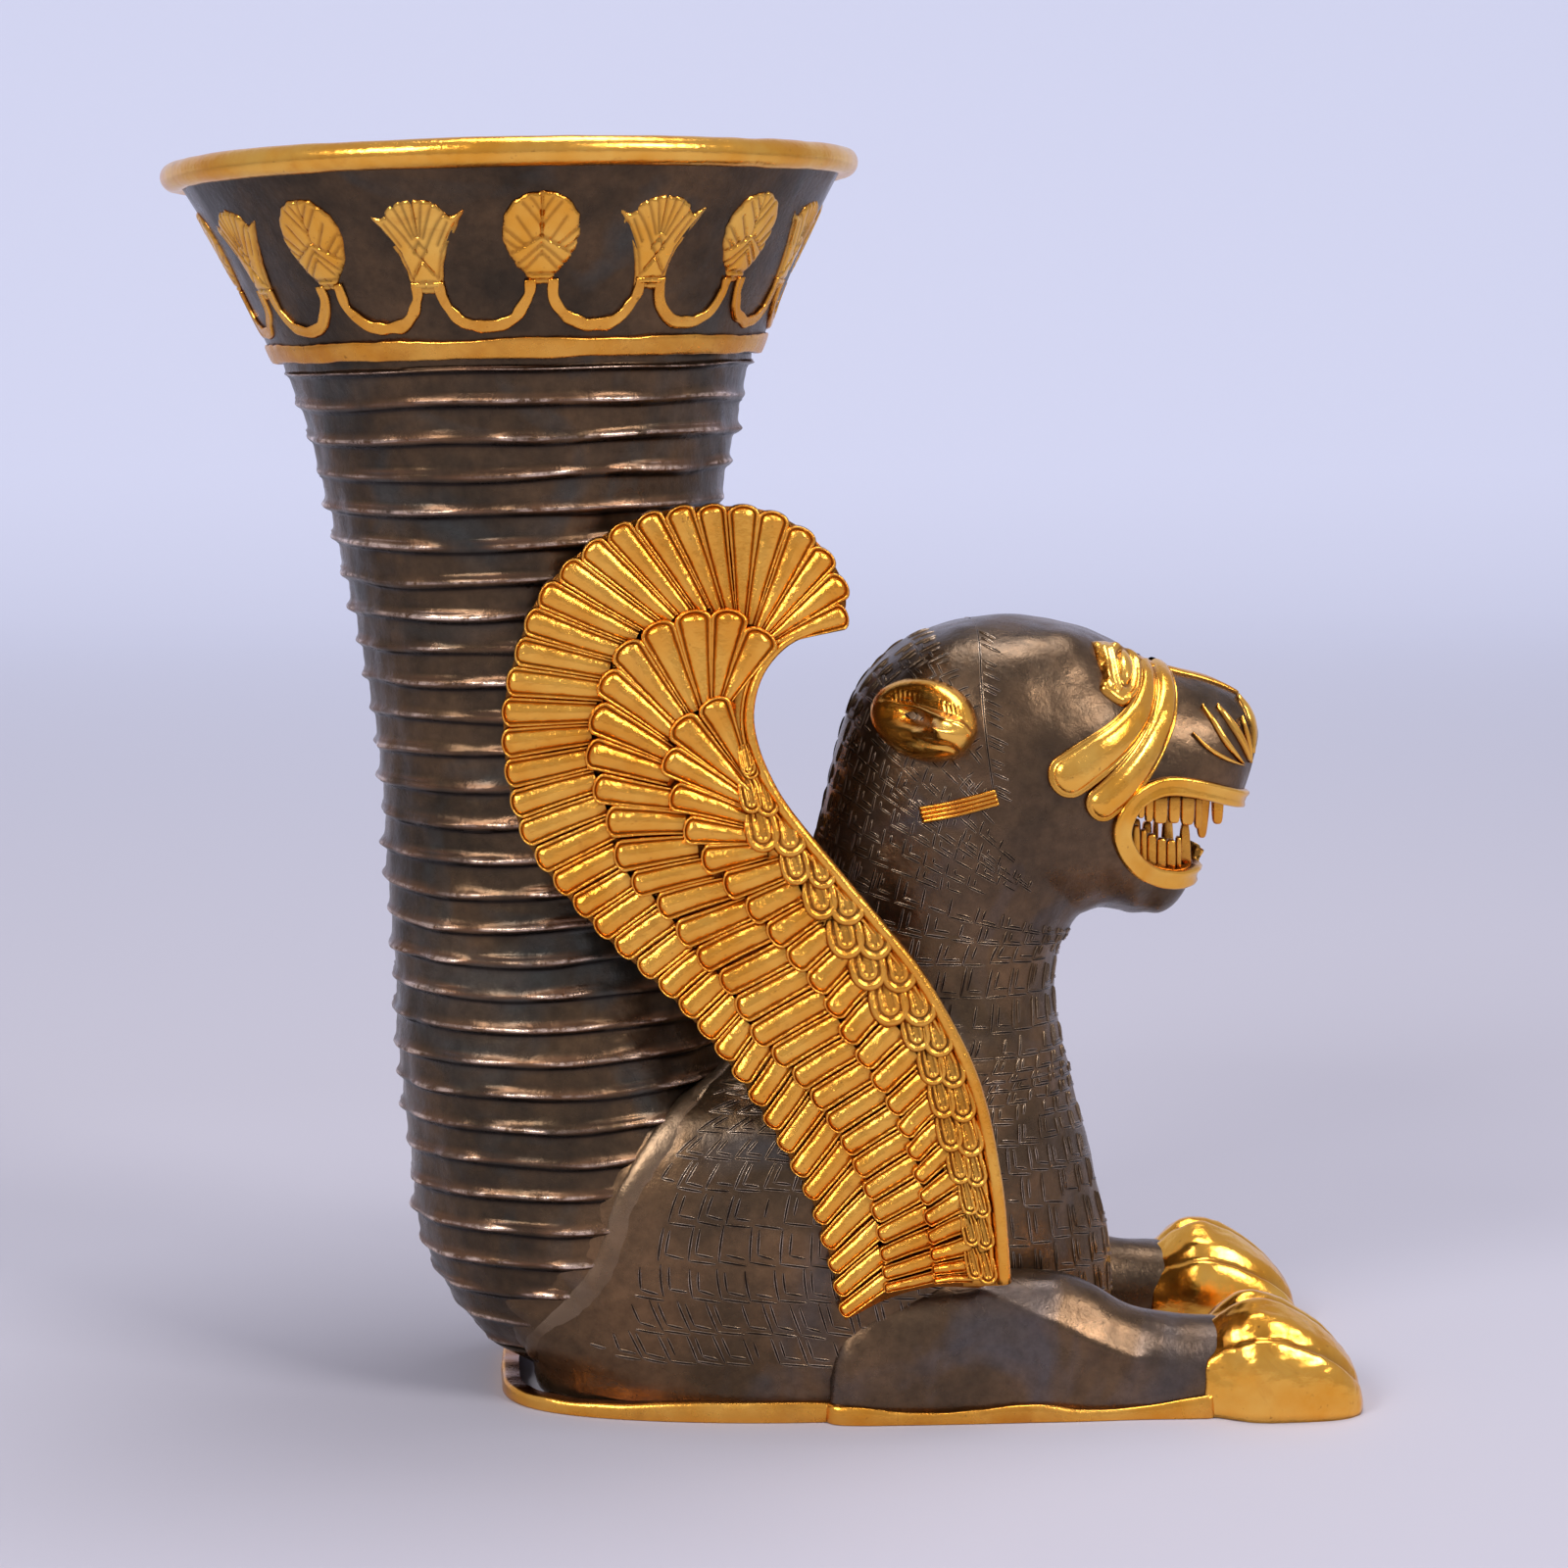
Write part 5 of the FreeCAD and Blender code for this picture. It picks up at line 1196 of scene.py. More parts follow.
# creases: points, height, width
EYE_CREASES = ((((58.0, 132.4), (58.2, 130.2), (58.3, 127.8), (58.9, 126.2)), 0.85, 0.38),
               (((59.5, 132.2), (59.7, 129.8), (59.9, 127.6), (60.2, 125.8)), 0.85, 0.34),
               (((60.6, 132.4), (62.8, 131.6), (64.6, 130.0), (64.4, 127.6), (63.4, 125.2), (61.6, 124.0)),
                0.85, 0.45))
for side, side_name in ((-1, "right"), (1, "left")):
    ring = smooth_line(np.array(EYE_OUTLINE + EYE_OUTLINE[:1]) * MM, 120)[:-1]
    flat, faces, edge = cut_sheet(ring, EYE_GRAIN)
    lift = EYE_LIFT * (1 - np.exp(-(edge / (0.35 * MM)) ** 1.5))
    # Painted shade along the shield's edge.
    sunk = np.exp(-edge / (0.3 * MM)) * 0.8
    for middle, reach, rise, height in EYE_SWELLS:
        off = (flat - np.array(middle) * MM) / (np.array((reach, rise)) * MM)
        dome = np.sqrt(np.clip(1 - (off ** 2).sum(-1), 0, 1))
        lift += height * MM * dome
        rim = np.exp(-((np.sqrt((off ** 2).sum(-1)) - 1.12) / 0.16) ** 2)
        lift -= 0.3 * MM * rim
        # Painted shade in the ring round the eyeball.
        sunk = np.maximum(sunk, rim * 0.75)
    for points, height, width in EYE_CREASES:
        near = np.exp(-(away(flat, smooth_line(np.array(points) * MM, 20)) / (width * MM)) ** 2)
        lift += height * MM * near
    top = on_head(flat[:, 0], flat[:, 1], lift + 0.1 * MM, side)
    under = on_head(flat[:, 0], flat[:, 1], -0.3 * MM, side)
    faces = solid_sheet(faces, len(flat))
    eye = join_parts("gilt_eye_" + side_name, [(np.concatenate([top, under]), faces,
                                                np.concatenate([sunk, sunk]))])
    eye.data.materials.append(bright_gilt)
    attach(eye, "root")
    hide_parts("eye_" + side_name)


# Nose bridge and whiskers: gilt strips let in along the muzzle. The bridge narrows to the nose,
# and the whiskers are pointed at their ends.
BRIDGE_TOP = ((67.6, 131.0), (73.3, 128.8), (80.5, 126.2), (84.8, 123.9))
BRIDGE_HALF_WIDTH = 5.6 * MM
BRIDGE_LIFT = 0.75 * MM
BRIDGE_STEPS = 40
bridge_rows = []
bridge_line = smooth_line(np.array(BRIDGE_TOP) * MM, BRIDGE_STEPS)
bridge_widths = BRIDGE_HALF_WIDTH * (1.0 - 0.48 * np.linspace(0, 1, BRIDGE_STEPS) ** 1.2)
# across the strip, height
BRIDGE_SHARES = ((-1.0, -0.7), (-1.0, 0.3), (-0.93, 0.85), (-0.75, 1.0), (-0.5, 0.75), (-0.2, 0.85),
                 (0.2, 0.85), (0.5, 0.75), (0.75, 1.0), (0.93, 0.85), (1.0, 0.3), (1.0, -0.7))
for across, height in BRIDGE_SHARES:
    row = []
    for (x, z), width in zip(bridge_line, bridge_widths):
        start = Vector((x + 6 * MM, across * width, z + 12 * MM))
        spot, out, _, _ = whole_skin.ray_cast(start, Vector((-0.45, 0, -0.9)).normalized())
        row.append(np.array(spot + out * (height * BRIDGE_LIFT)))
    bridge_rows.append(row)
bridge_rings = np.stack(bridge_rows, axis=1)
# Painted shade on the strip's sides.
bridge_sunk = np.tile([0.8 if height < 0.5 else 0.0 for _, height in BRIDGE_SHARES], (BRIDGE_STEPS, 1))
bridge_faces = capped_faces(BRIDGE_STEPS, len(BRIDGE_SHARES))
bridge = join_parts("gilt_bridge", [(bridge_rings, bridge_faces, bridge_sunk)])
bridge.data.materials.append(worn_gilt)
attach(bridge, "root")
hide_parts("nose_bridge")

# line in millimetres of side view, half width
WHISKERS = (
    (((76.4, 122.5), (78.0, 120.3), (80.5, 116.3), (83.8, 112.2)), 0.60),
    (((79.3, 122.4), (81.5, 119.8), (84.0, 116.1), (85.6, 112.4)), 0.80),
    (((74.1, 118.1), (76.5, 115.8), (80.0, 113.6), (84.0, 111.8)), 0.46),
    (((84.2, 123.5), (85.9, 121.1), (86.9, 118.0), (86.4, 113.6)), 0.95),
    (((84.0, 120.2), (85.0, 117.2), (85.6, 114.6), (85.8, 112.0)), 0.45),
)
WHISKER_LIFT = 0.8 * MM
WHISKER_SHARES = ((-1.0, -0.5), (-0.9, 0.35), (-0.5, 0.8), (0.0, 1.0), (0.5, 0.8), (0.9, 0.35), (1.0, -0.5))
for side, side_name in ((-1, "right"), (1, "left")):
    whisker_parts = []
    for points, half_width in WHISKERS:
        line = smooth_line(np.array(points) * MM, 26)
        widths = half_width * MM * (0.15 + 0.85 * np.sin(np.linspace(0.05, math.pi - 0.05, 26)) ** 0.8)
        whisker_parts.append(strap(line, widths, WHISKER_SHARES, WHISKER_LIFT,
                                   lambda x, z, lift: on_head(x, z, lift, side)))
    whiskers = join_parts("gilt_whiskers_" + side_name, whisker_parts)
    whiskers.data.materials.append(bright_gilt)
    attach(whiskers, "root")
    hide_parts("whiskers_" + side_name)


# Teeth: gilt rows cut from thick strip, one along each side of the upper and lower jaw, with a
# fang at the front.
# back, front and tip of each tooth and its taper, in millimetres of side view
UPPER_TEETH = ((63.9, 65.3, 103.6, 0.85), (65.4, 67.0, 102.8, 0.9), (67.1, 69.8, 102.3, 0.95),
               (70.0, 72.2, 102.2, 0.95), (72.4, 75.0, 101.7, 0.95), (75.1, 76.5, 100.9, 0.9),
               (76.3, 79.2, 98.4, 0.55), (79.3, 81.6, 100.9, 0.8))
LOWER_TEETH = ((63.6, 65.2, 101.9, 0.85), (65.3, 66.5, 101.0, 0.95), (66.6, 68.4, 100.1, 0.95),
               (68.5, 70.3, 99.2, 0.95), (70.4, 72.2, 98.8, 0.95), (72.3, 73.3, 99.2, 0.95),
               (73.3, 75.7, 101.3, 0.6))
UPPER_ROOT, LOWER_ROOT = 107.8 * MM, 93.0 * MM
TOOTH_THICKNESS = 2.2 * MM
TOOTH_GAP = 0.06 * MM
TOOTH_INSET = 0.45 * MM
TOOTH_SIDES = 24
# way from root to tip, how slim
TOOTH_SHARES = ((0.0, 1.0), (0.3, 1.0), (0.6, 0.99), (0.8, 0.96), (0.92, 0.88), (0.98, 0.70), (1.0, 0.40))


def tooth(left, right, root, tip, taper, outside, side):
    """One tooth: a rounded oblong that narrows to a blunt tip."""
    rows = []
    turn = np.arange(TOOTH_SIDES) * 2 * math.pi / TOOTH_SIDES
    corner = np.sign(np.cos(turn)) * np.abs(np.cos(turn)) ** 0.35
    deep = np.sign(np.sin(turn)) * np.abs(np.sin(turn)) ** 0.45
    for share, slim in TOOTH_SHARES:
        slim = slim * (1 - (1 - taper) * share ** 1.5)
        x = (left + right) / 2 + corner * (right - left) / 2 * slim
        y = side * (outside - TOOTH_THICKNESS / 2) + deep * TOOTH_THICKNESS / 2 * (0.3 + 0.7 * slim)
        rows.append(np.stack([x, y, np.full(TOOTH_SIDES, root + (tip - root) * share)], -1))
    if root > tip:
        rows = rows[::-1]
    return np.array(rows)


for name, shares, root in (("upper_teeth", UPPER_TEETH, UPPER_ROOT), ("lower_teeth", LOWER_TEETH, LOWER_ROOT)):
    tooth_parts = []
    for back, front, tip, taper in shares:
        left, right, tip = back * MM + TOOTH_GAP / 2, front * MM - TOOTH_GAP / 2, tip * MM
        for side in (-1, 1):
            near = on_head(np.array([left, right, left, right]), np.array([root, root, tip, tip]), 0.0, side)
            outside = np.abs(near[:, 1]).min() - TOOTH_INSET
            rings = tooth(left, right, root, tip, taper, outside, side)
            # Painted shade toward the roots, inside the mouth.
            sunk = np.abs(rings[..., 2] - tip) / abs(root - tip)
            tooth_parts.append((rings, capped_faces(len(rings), TOOTH_SIDES), np.clip(sunk - 0.45, 0, 1)))
    teeth = join_parts("gilt_" + name, tooth_parts)
    teeth.data.materials.append(worn_gilt)
    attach(teeth, "root")
    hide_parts(name)


# Ears: gilt cups laid back against the skull. The lower half swells, the upper half is hollow,
# with short strokes for the hair along its rim.
EAR_MIDDLE = (26.3 * MM, 121.2 * MM)
EAR_LENGTH, EAR_HEIGHT, EAR_STAND = 17.6 * MM, 14.2 * MM, 8.6 * MM
EAR_RINGS, EAR_TURNS = 40, 160
EAR_ROOM = 24.0 * MM                 # an ear starts no farther out than this
# way along the ear, height there of the ridge between its halves, and of the fold in the lower half
EAR_RIDGE_SHARES = ((-1.0, 0.30), (-0.7, 0.38), (-0.4, 0.35), (-0.12, 0.31), (0.3, 0.17), (0.65, 0.02),
                    (0.86, -0.31), (1.0, -0.55))
EAR_FOLD_SHARES = ((-1.0, -0.05), (-0.4, -0.31), (0.0, -0.43), (0.42, -0.57), (0.62, -0.86), (1.0, -1.5))
for side, side_name in ((-1, "right"), (1, "left")):
    rim = np.linspace(0.0, 1.0, EAR_RINGS)[:, None]
    turn = (np.arange(EAR_TURNS) * 2 * math.pi / EAR_TURNS)[None, :]
    reach = 1 - rim ** 1.3 * 0.999
    own_x = reach * np.cos(turn) * EAR_LENGTH / 2
    own_z = reach * np.sin(turn) * EAR_HEIGHT / 2
    u, v = own_x / (EAR_LENGTH / 2), own_z / (EAR_HEIGHT / 2)
    own_x = own_x + 0.12 * np.maximum(-own_z, 0.0)
    dome = np.clip(1 - (u ** 2 + v ** 2), 0, 1) ** 0.45
    depth = 1 - np.hypot(u, v)
    above = v - curve_at(EAR_RIDGE_SHARES, u)[..., 0]
    bowl = np.clip(above / 0.10, 0, 1) * np.clip(depth / 0.45, 0, 1)
    low_edge = v - curve_at(EAR_FOLD_SHARES, u)[..., 0]
    fold = np.clip((u + 0.55) / 0.4, 0, 1)
    hair = np.cos(u * 76.0 + v * 5.0) * np.clip(above / 0.08, 0, 1) * (above < 0.34)
    hair = hair * np.maximum(np.exp(-((u + 0.36) / 0.24) ** 4), np.exp(-((u - 0.50) / 0.22) ** 4))
    stand = dome * (1 - 0.24 * bowl - 0.15 * fold * hump(low_edge, 0.0, 0.08)
                    - 0.08 * fold * np.clip(-low_edge / 0.08, 0, 1)) + 0.06 * hump(above, 0.0, 0.06) * dome
    stand += 0.028 * hair
    x, z = EAR_MIDDLE[0] + own_x, EAR_MIDDLE[1] + own_z
    base = on_head(x[:1], z[:1], 0.0, side)[..., 1] * side
    y = side * (np.minimum(base, EAR_ROOM) - 0.8 * MM + stand * EAR_STAND)
    points = np.stack([x, y, z], -1)
    # Painted shade in the fold of the lower half, between the hair strokes and at the rim, with a trace in the
    # hollow.
    sunk = np.clip(bowl * 0.05 + 0.5 * fold * hump(low_edge, -0.03, 0.07) + 0.45 * (hair < -0.5), 0, 1)
    sunk = sunk * dome + (rim < 0.02) * 0.6
    faces = grid_faces(EAR_RINGS, EAR_TURNS)
    faces.append([(EAR_RINGS - 1) * EAR_TURNS + step for step in range(EAR_TURNS)])
    faces = faces if side < 0 else [face[::-1] for face in faces]
    ear = join_parts("gilt_ear_" + side_name, [(points, faces, sunk)])
    ear.data.materials.append(bright_gilt)
    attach(ear, "root")
    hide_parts("ear_" + side_name)


# Cheek bars: a short gilt strip soldered on below each ear, chased with four ribs along its
# length.
BAR_LINE = ((25.6, 104.9), (32.1, 106.5), (38.4, 108.3))
BAR_HALF_WIDTH = 1.5 * MM
BAR_LIFT = 0.95 * MM
BAR_RIBS, BAR_STEPS = 4, 30
bar_section = [(-1.0, -0.6), (-1.0, 0.2)]
for rib in range(BAR_RIBS):
    for share, height in ((0.12, 0.75), (0.5, 1.0), (0.88, 0.75)):
        bar_section.append((-1.0 + (rib + share) / 2, height))
    if rib < BAR_RIBS - 1:
        bar_section.append((-1.0 + (rib + 1) / 2, 0.45))
bar_section += [(1.0, 0.2), (1.0, -0.6)]
for side, side_name in ((-1, "right"), (1, "left")):
    line = smooth_line(np.array(BAR_LINE) * MM, BAR_STEPS)
    part = strap(line, np.full(BAR_STEPS, BAR_HALF_WIDTH), bar_section, BAR_LIFT,
                 lambda x, z, lift: on_head(x, z, lift, side))
    bar = join_parts("gilt_bar_" + side_name, [part])
    bar.data.materials.append(worn_gilt)
    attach(bar, "root")
    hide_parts("cheek_bar_" + side_name)


# Forelegs: two silver arms that lie along the base, soldered to the chest at the elbow, with a
# sinew standing out on the outside of each.
LEG_SPREAD = 26.0 * MM
LEG_HALF_WIDTH = 9.1 * MM
LEG_HEIGHT = 25.0 * MM
ELBOW_FRONT = 9.0 * MM
WRIST_FRONT = 76.0 * MM
PLATE_THICKNESS = 1.2 * MM
LEG_STEPS = 96
# ridge of the sinew on the outside of the arm, in millimetres of side view
SINEW_LINE = ((36.0, 23.0), (41.0, 20.5), (49.0, 16.5), (56.0, 13.2), (62.5, 10.5))
# along from elbow to wrist, half width, height
LEG_SHARES = ((0.00, 0.78, 0.40), (0.012, 0.86, 0.58), (0.035, 0.92, 0.74), (0.08, 0.96, 0.85),
              (0.17, 0.98, 0.93), (0.31, 1.00, 0.985), (0.48, 1.00, 0.985), (0.62, 1.00, 0.955),
              (0.70, 0.99, 0.87), (0.77, 0.97, 0.75), (0.84, 0.97, 0.68), (0.92, 0.99, 0.64),
              (1.04, 1.02, 0.62))


def arch(along, middle, half_width, floor, height, steps, power=0.6):
    """Arched rings that stand on a floor, open below; along, half width and height are columns."""
    turn = np.linspace(0.0, math.pi, steps)[None, :]
    rise = (height - floor)[:, None] * np.sin(turn) ** power
    across = half_width[:, None] * np.cos(turn)
    x = np.broadcast_to(along[:, None], rise.shape)
    return np.stack([x, middle - across, floor + rise], -1), turn


for side, side_name in ((-1, "right"), (1, "left")):
    shares = np.linspace(0.0, 1.04, 90)
    rows = curve_at(LEG_SHARES, shares)
    along = ELBOW_FRONT + shares * (WRIST_FRONT - ELBOW_FRONT)
    rings, turn = arch(along, side * LEG_SPREAD, rows[:, 0] * LEG_HALF_WIDTH, PLATE_THICKNESS * 0.5,
                       rows[:, 1] * LEG_HEIGHT, LEG_STEPS)
    outer = np.clip((rings[..., 1] * side - LEG_SPREAD) / (2 * MM), 0.0, 1.0)
    sinew = away(rings[..., (0, 2)].reshape(-1, 2), np.array(SINEW_LINE) * MM).reshape(outer.shape)
    rings[..., 1] += side * outer * (0.75 * np.exp(-(sinew / (1.7 * MM)) ** 2) - 0.35) * MM
    rings += (0.12 * MM * waves(rings / MM, 9.0, 71))[..., None] * np.array([0.0, 0.8, 0.8])
    rings[..., 2] = np.maximum(rings[..., 2], 0.2 * MM)
    leg = join_parts("foreleg_" + side_name + "_skin",
                     [(rings, capped_faces(len(rings), LEG_STEPS), np.zeros(rings.shape[:2]))])
    leg.data.materials.append(face_silver)
    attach(leg, "root")
    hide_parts("foreleg_" + side_name)


# Paws: gilt caps pulled over the ends of the arms, with four toes and a ragged edge at the wrist.
PAW_FRONT = 103.2 * MM
PAW_HALF_WIDTH = 14.0 * MM
PAW_HEIGHT = 19.7 * MM
PAW_STEPS = 120
TOE_COUNT, TOE_DEPTH = 4, 1.9 * MM
# along from wrist to toes, half width, height, depth of the clefts between the toes
PAW_SHARES = ((-0.04, 0.68, 0.70, 0.10), (0.03, 0.74, 0.775, 0.35), (0.14, 0.88, 0.91, 0.7),
              (0.24, 0.97, 0.985, 0.85),
              (0.33, 1.00, 1.00, 0.9), (0.46, 1.00, 0.955, 0.95), (0.60, 0.99, 0.86, 1.0),
              (0.72, 0.96, 0.745, 1.1), (0.83, 0.90, 0.61, 1.1), (0.91, 0.80, 0.475, 0.9), (0.965, 0.66, 0.33, 0.5),
              (1.00, 0.46, 0.15, 0.1))
for side, side_name in ((-1, "right"), (1, "left")):
    shares = np.concatenate([np.linspace(-0.04, 0.9, 80), np.linspace(0.91, 1.0, 18)])
    rows = curve_at(PAW_SHARES, shares)
    along = WRIST_FRONT + shares * (PAW_FRONT - WRIST_FRONT)
    rings, turn = arch(along, side * LEG_SPREAD, rows[:, 0] * PAW_HALF_WIDTH, 0.0,
                       rows[:, 1] * PAW_HEIGHT, PAW_STEPS, 0.66)
    cleft = ((1 + np.cos(2 * TOE_COUNT * turn)) / 2) ** 5 * np.sin(turn)
    rings[..., 2] -= TOE_DEPTH * rows[:, 2:3] * cleft
    bow = 1 - 0.06 * (1 - np.sin(turn)) ** 3
    rings[..., 1] = side * LEG_SPREAD + (rings[..., 1] - side * LEG_SPREAD) * bow
    ragged = waves(np.stack([turn[0] * 3.0, turn[0] * 0.0], -1), 1.6, 80)
    fade = np.clip(1 - np.arange(len(rings)) / 9.0, 0.0, 1.0)[:, None]
    rings[..., 0] += 0.75 * MM * ragged * fade
    knuckle = hump(shares, 0.05, 0.09)[:, None] * np.cos(2 * TOE_COUNT * turn + 0.5)
    dents = 0.15 * waves(rings / MM, 6.0, 73) + 0.06 * waves(rings / MM, 2.4, 74) + 0.35 * knuckle
    rings += (MM * dents)[..., None] * np.array([0.0, 0.5, 0.9]) * np.array([1.0, side, 1.0])
    rings[..., 2] = np.maximum(rings[..., 2], 0.0)
    wrist = rings[:1].copy()
    wrist[..., 1] = side * LEG_SPREAD + (wrist[..., 1] - side * LEG_SPREAD) * 0.9
    wrist[..., 2] *= 0.93
    rings = np.concatenate([wrist, rings])
    # Painted shade at the wrist edge, under the cap's rim, and in the clefts between the toes.
    sunk = np.concatenate([np.ones((1, PAW_STEPS)), cleft * rows[:, 2:3] * 0.45])
    sunk[1] = 0.6
    paw = join_parts("gilt_paw_" + side_name, [(rings, capped_faces(len(rings), PAW_STEPS), sunk)])
    paw.data.materials.append(bright_gilt)
    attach(paw, "root")
    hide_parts("paw_" + side_name)


# Base: a flat silver plate closes the body from below, and a gilt band is soldered round its
# edge, burnished down by hand so that its upper edge wavers.
# way along the lion, height of the band there, in millimetres
BASE_HEIGHTS = ((-46.0, 2.6), (-34.6, 2.5), (-24.0, 2.9), (-16.0, 3.4), (0.5, 3.6), (12.5, 3.3), (27.8, 2.1),
                (34.6, 2.6), (45.0, 3.1), (51.7, 2.2), (65.0, 2.6), (73.0, 3.9), (80.0, 5.0))
BASE_BAND_LIFT = 0.9 * MM
OVAL_STEPS, BASE_STEPS = 260, 1200
BASE_LEVEL = 12.0 * MM
oval_ring = body_at(np.full(OVAL_STEPS, BASE_LEVEL), np.linspace(0.0, math.pi, OVAL_STEPS))
oval_x, oval_y = oval_ring[:, 0], -oval_ring[:, 1]
reach_x = np.linspace(oval_x[0], WRIST_FRONT - 0.5 * MM, 400)
oval_reach = np.interp(reach_x, oval_x, oval_y, right=0.0)
leg_share = (reach_x - ELBOW_FRONT) / (WRIST_FRONT - ELBOW_FRONT)
leg_half = curve_at(LEG_SHARES, np.clip(leg_share, 0, 1.04))[:, 0] * LEG_HALF_WIDTH
leg_reach = np.where(leg_share >= 0, leg_half, -1.0)
outside_edge = np.maximum(oval_reach, np.where(leg_reach > 0, LEG_SPREAD + leg_reach, 0.0))
inside_edge = LEG_SPREAD - leg_reach
meets = np.argmax((inside_edge > oval_reach) & (reach_x > 40 * MM))
half_line = [(x, y) for x, y in zip(reach_x, outside_edge)]
half_line += [(x, y) for x, y in zip(reach_x[:meets:-1], inside_edge[:meets:-1])]
chest = (oval_x > reach_x[meets]) & (oval_y > 0)
half_line += [(x, y) for x, y in zip(oval_x[chest], oval_y[chest])]
half_line = np.array(half_line)
base_loop = np.concatenate([half_line * (1, -1), half_line[::-1][1:]])
base_loop = base_loop[np.concatenate([[True], np.linalg.norm(np.diff(base_loop, axis=0), axis=1) > 1e-6])]
runs = np.concatenate([[0.0], np.cumsum(np.linalg.norm(np.diff(base_loop, axis=0), axis=1))])
even = np.linspace(0.0, runs[-1], BASE_STEPS, endpoint=False)
base_loop = np.stack([np.interp(even, runs, base_loop[:, 0]), np.interp(even, runs, base_loop[:, 1])], -1)
for _ in range(4):
    base_loop = base_loop * 0.5 + (np.roll(base_loop, 1, axis=0) + np.roll(base_loop, -1, axis=0)) * 0.25
loop_ways = np.roll(base_loop, -1, axis=0) - np.roll(base_loop, 1, axis=0)
loop_ways /= np.linalg.norm(loop_ways, axis=1, keepdims=True)
loop_out = np.stack([loop_ways[:, 1], -loop_ways[:, 0]], -1)
band_top = curve_at(BASE_HEIGHTS, base_loop[:, 0] / MM)[:, 0] * MM + 0.10 * MM * waves(base_loop / MM, 7.0, 84)
# way up, how far out
BASE_SHARES = ((0.0, -0.6), (0.0, 0.75), (0.05, 0.98), (0.30, 1.0), (0.65, 0.94), (0.86, 0.80), (0.96, 0.50),
               (1.0, 0.10), (0.93, -2.6))
base_rows = []
for up, out in BASE_SHARES:
    flat = base_loop + loop_out * out * BASE_BAND_LIFT
    base_rows.append(np.concatenate([flat, (band_top * up)[:, None]], axis=1))
# Painted shade at the band's foot and under its top edge.
base_sunk = np.repeat([[0.8], [0.4], [0.0], [0.0], [0.0], [0.0], [0.1], [0.7], [0.9]], len(base_loop), axis=1)
base_faces = grid_faces(len(BASE_SHARES), len(base_loop))
base_band = join_parts("gilt_base_band", [(np.array(base_rows), base_faces, base_sunk)])
base_band.data.materials.append(worn_gilt)
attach(base_band, "root")
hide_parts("base_band")
base_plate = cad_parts["base_plate"]
base_plate.data.materials.clear()
base_plate.data.materials.append(body_silver)


# Wings: a sheet cut to the wing's outline, with three rows of feathers, two columns of small
# coverts and a smooth leading wire raised on it from the back and chased from the front.
WING_BACK = -47.0 * MM
WING_REACH = 87.0 * MM
WING_FOOT = 18.6 * MM
WING_RISE = 141.0 * MM
WING_STAND = 33.38 * MM
WING_SHEET = 1.3 * MM
LEFT_WING_LEAN = math.radians(3.5)
LINE_STEPS = 1200
WIRE_RADIUS = 1.05 * MM
PRIMARY_COUNT, SECONDARY_COUNT, TERTIARY_COUNT, COVERT_COUNT = 42, 30, 25, 16
# shares of the wing's reach and rise
WING_TIP_SHARES = ((0.663, 0.000), (0.634, 0.077), (0.605, 0.138), (0.547, 0.211), (0.490, 0.272),
                   (0.355, 0.382), (0.167, 0.496), (0.092, 0.550), (0.036, 0.604), (0.008, 0.669),
                   (0.005, 0.774), (0.030, 0.832), (0.068, 0.889), (0.134, 0.935), (0.209, 0.970),
                   (0.303, 0.993), (0.397, 1.000), (0.529, 0.992), (0.632, 0.946), (0.676, 0.882),
                   (0.664, 0.849))
WING_EDGE_SHARES = ((0.613, 0.847), (0.556, 0.830), (0.512, 0.800), (0.489, 0.743), (0.500, 0.707),
                    (0.528, 0.666), (0.643, 0.570), (0.738, 0.499), (0.816, 0.438), (0.875, 0.377),
                    (0.923, 0.316), (0.977, 0.182), (1.000, 0.041))
WING_FOOT_SHARES = ((0.937, 0.038), (0.839, 0.040), (0.741, 0.023), (0.693, 0.008))
PRIMARY_ROOT_SHARES = ((0.751, 0.038), (0.725, 0.136), (0.686, 0.196), (0.630, 0.255), (0.561, 0.311),
                       (0.485, 0.359), (0.436, 0.415), (0.362, 0.465), (0.294, 0.524), (0.233, 0.559),
                       (0.206, 0.618), (0.172, 0.684), (0.168, 0.726), (0.189, 0.771), (0.211, 0.813),
                       (0.261, 0.845), (0.314, 0.862), (0.366, 0.872), (0.415, 0.877), (0.462, 0.869),
                       (0.500, 0.853), (0.540, 0.832))
SECONDARY_ROOT_SHARES = ((0.848, 0.049), (0.820, 0.155), (0.780, 0.238), (0.710, 0.313), (0.660, 0.361),
                         (0.630, 0.396), (0.547, 0.459), (0.499, 0.495), (0.437, 0.538), (0.393, 0.570),
                         (0.359, 0.606), (0.326, 0.660), (0.318, 0.702), (0.337, 0.738), (0.375, 0.758),
                         (0.415, 0.767), (0.443, 0.762))
TERTIARY_ROOT_SHARES = ((0.916, 0.048), (0.902, 0.142), (0.862, 0.214), (0.817, 0.313), (0.774, 0.357),
                        (0.716, 0.396), (0.679, 0.443), (0.623, 0.486), (0.579, 0.529), (0.524, 0.576),
                        (0.480, 0.599), (0.471, 0.648), (0.477, 0.680))
# way along the tips of a row from its foot, way along its roots
ROOT_MATCH_SHARES = ((0.00, 0.00), (0.10, 0.155), (0.20, 0.29), (0.30, 0.415), (0.45, 0.60),
                     (0.60, 0.755), (0.75, 0.885), (0.90, 0.968), (1.00, 1.00))
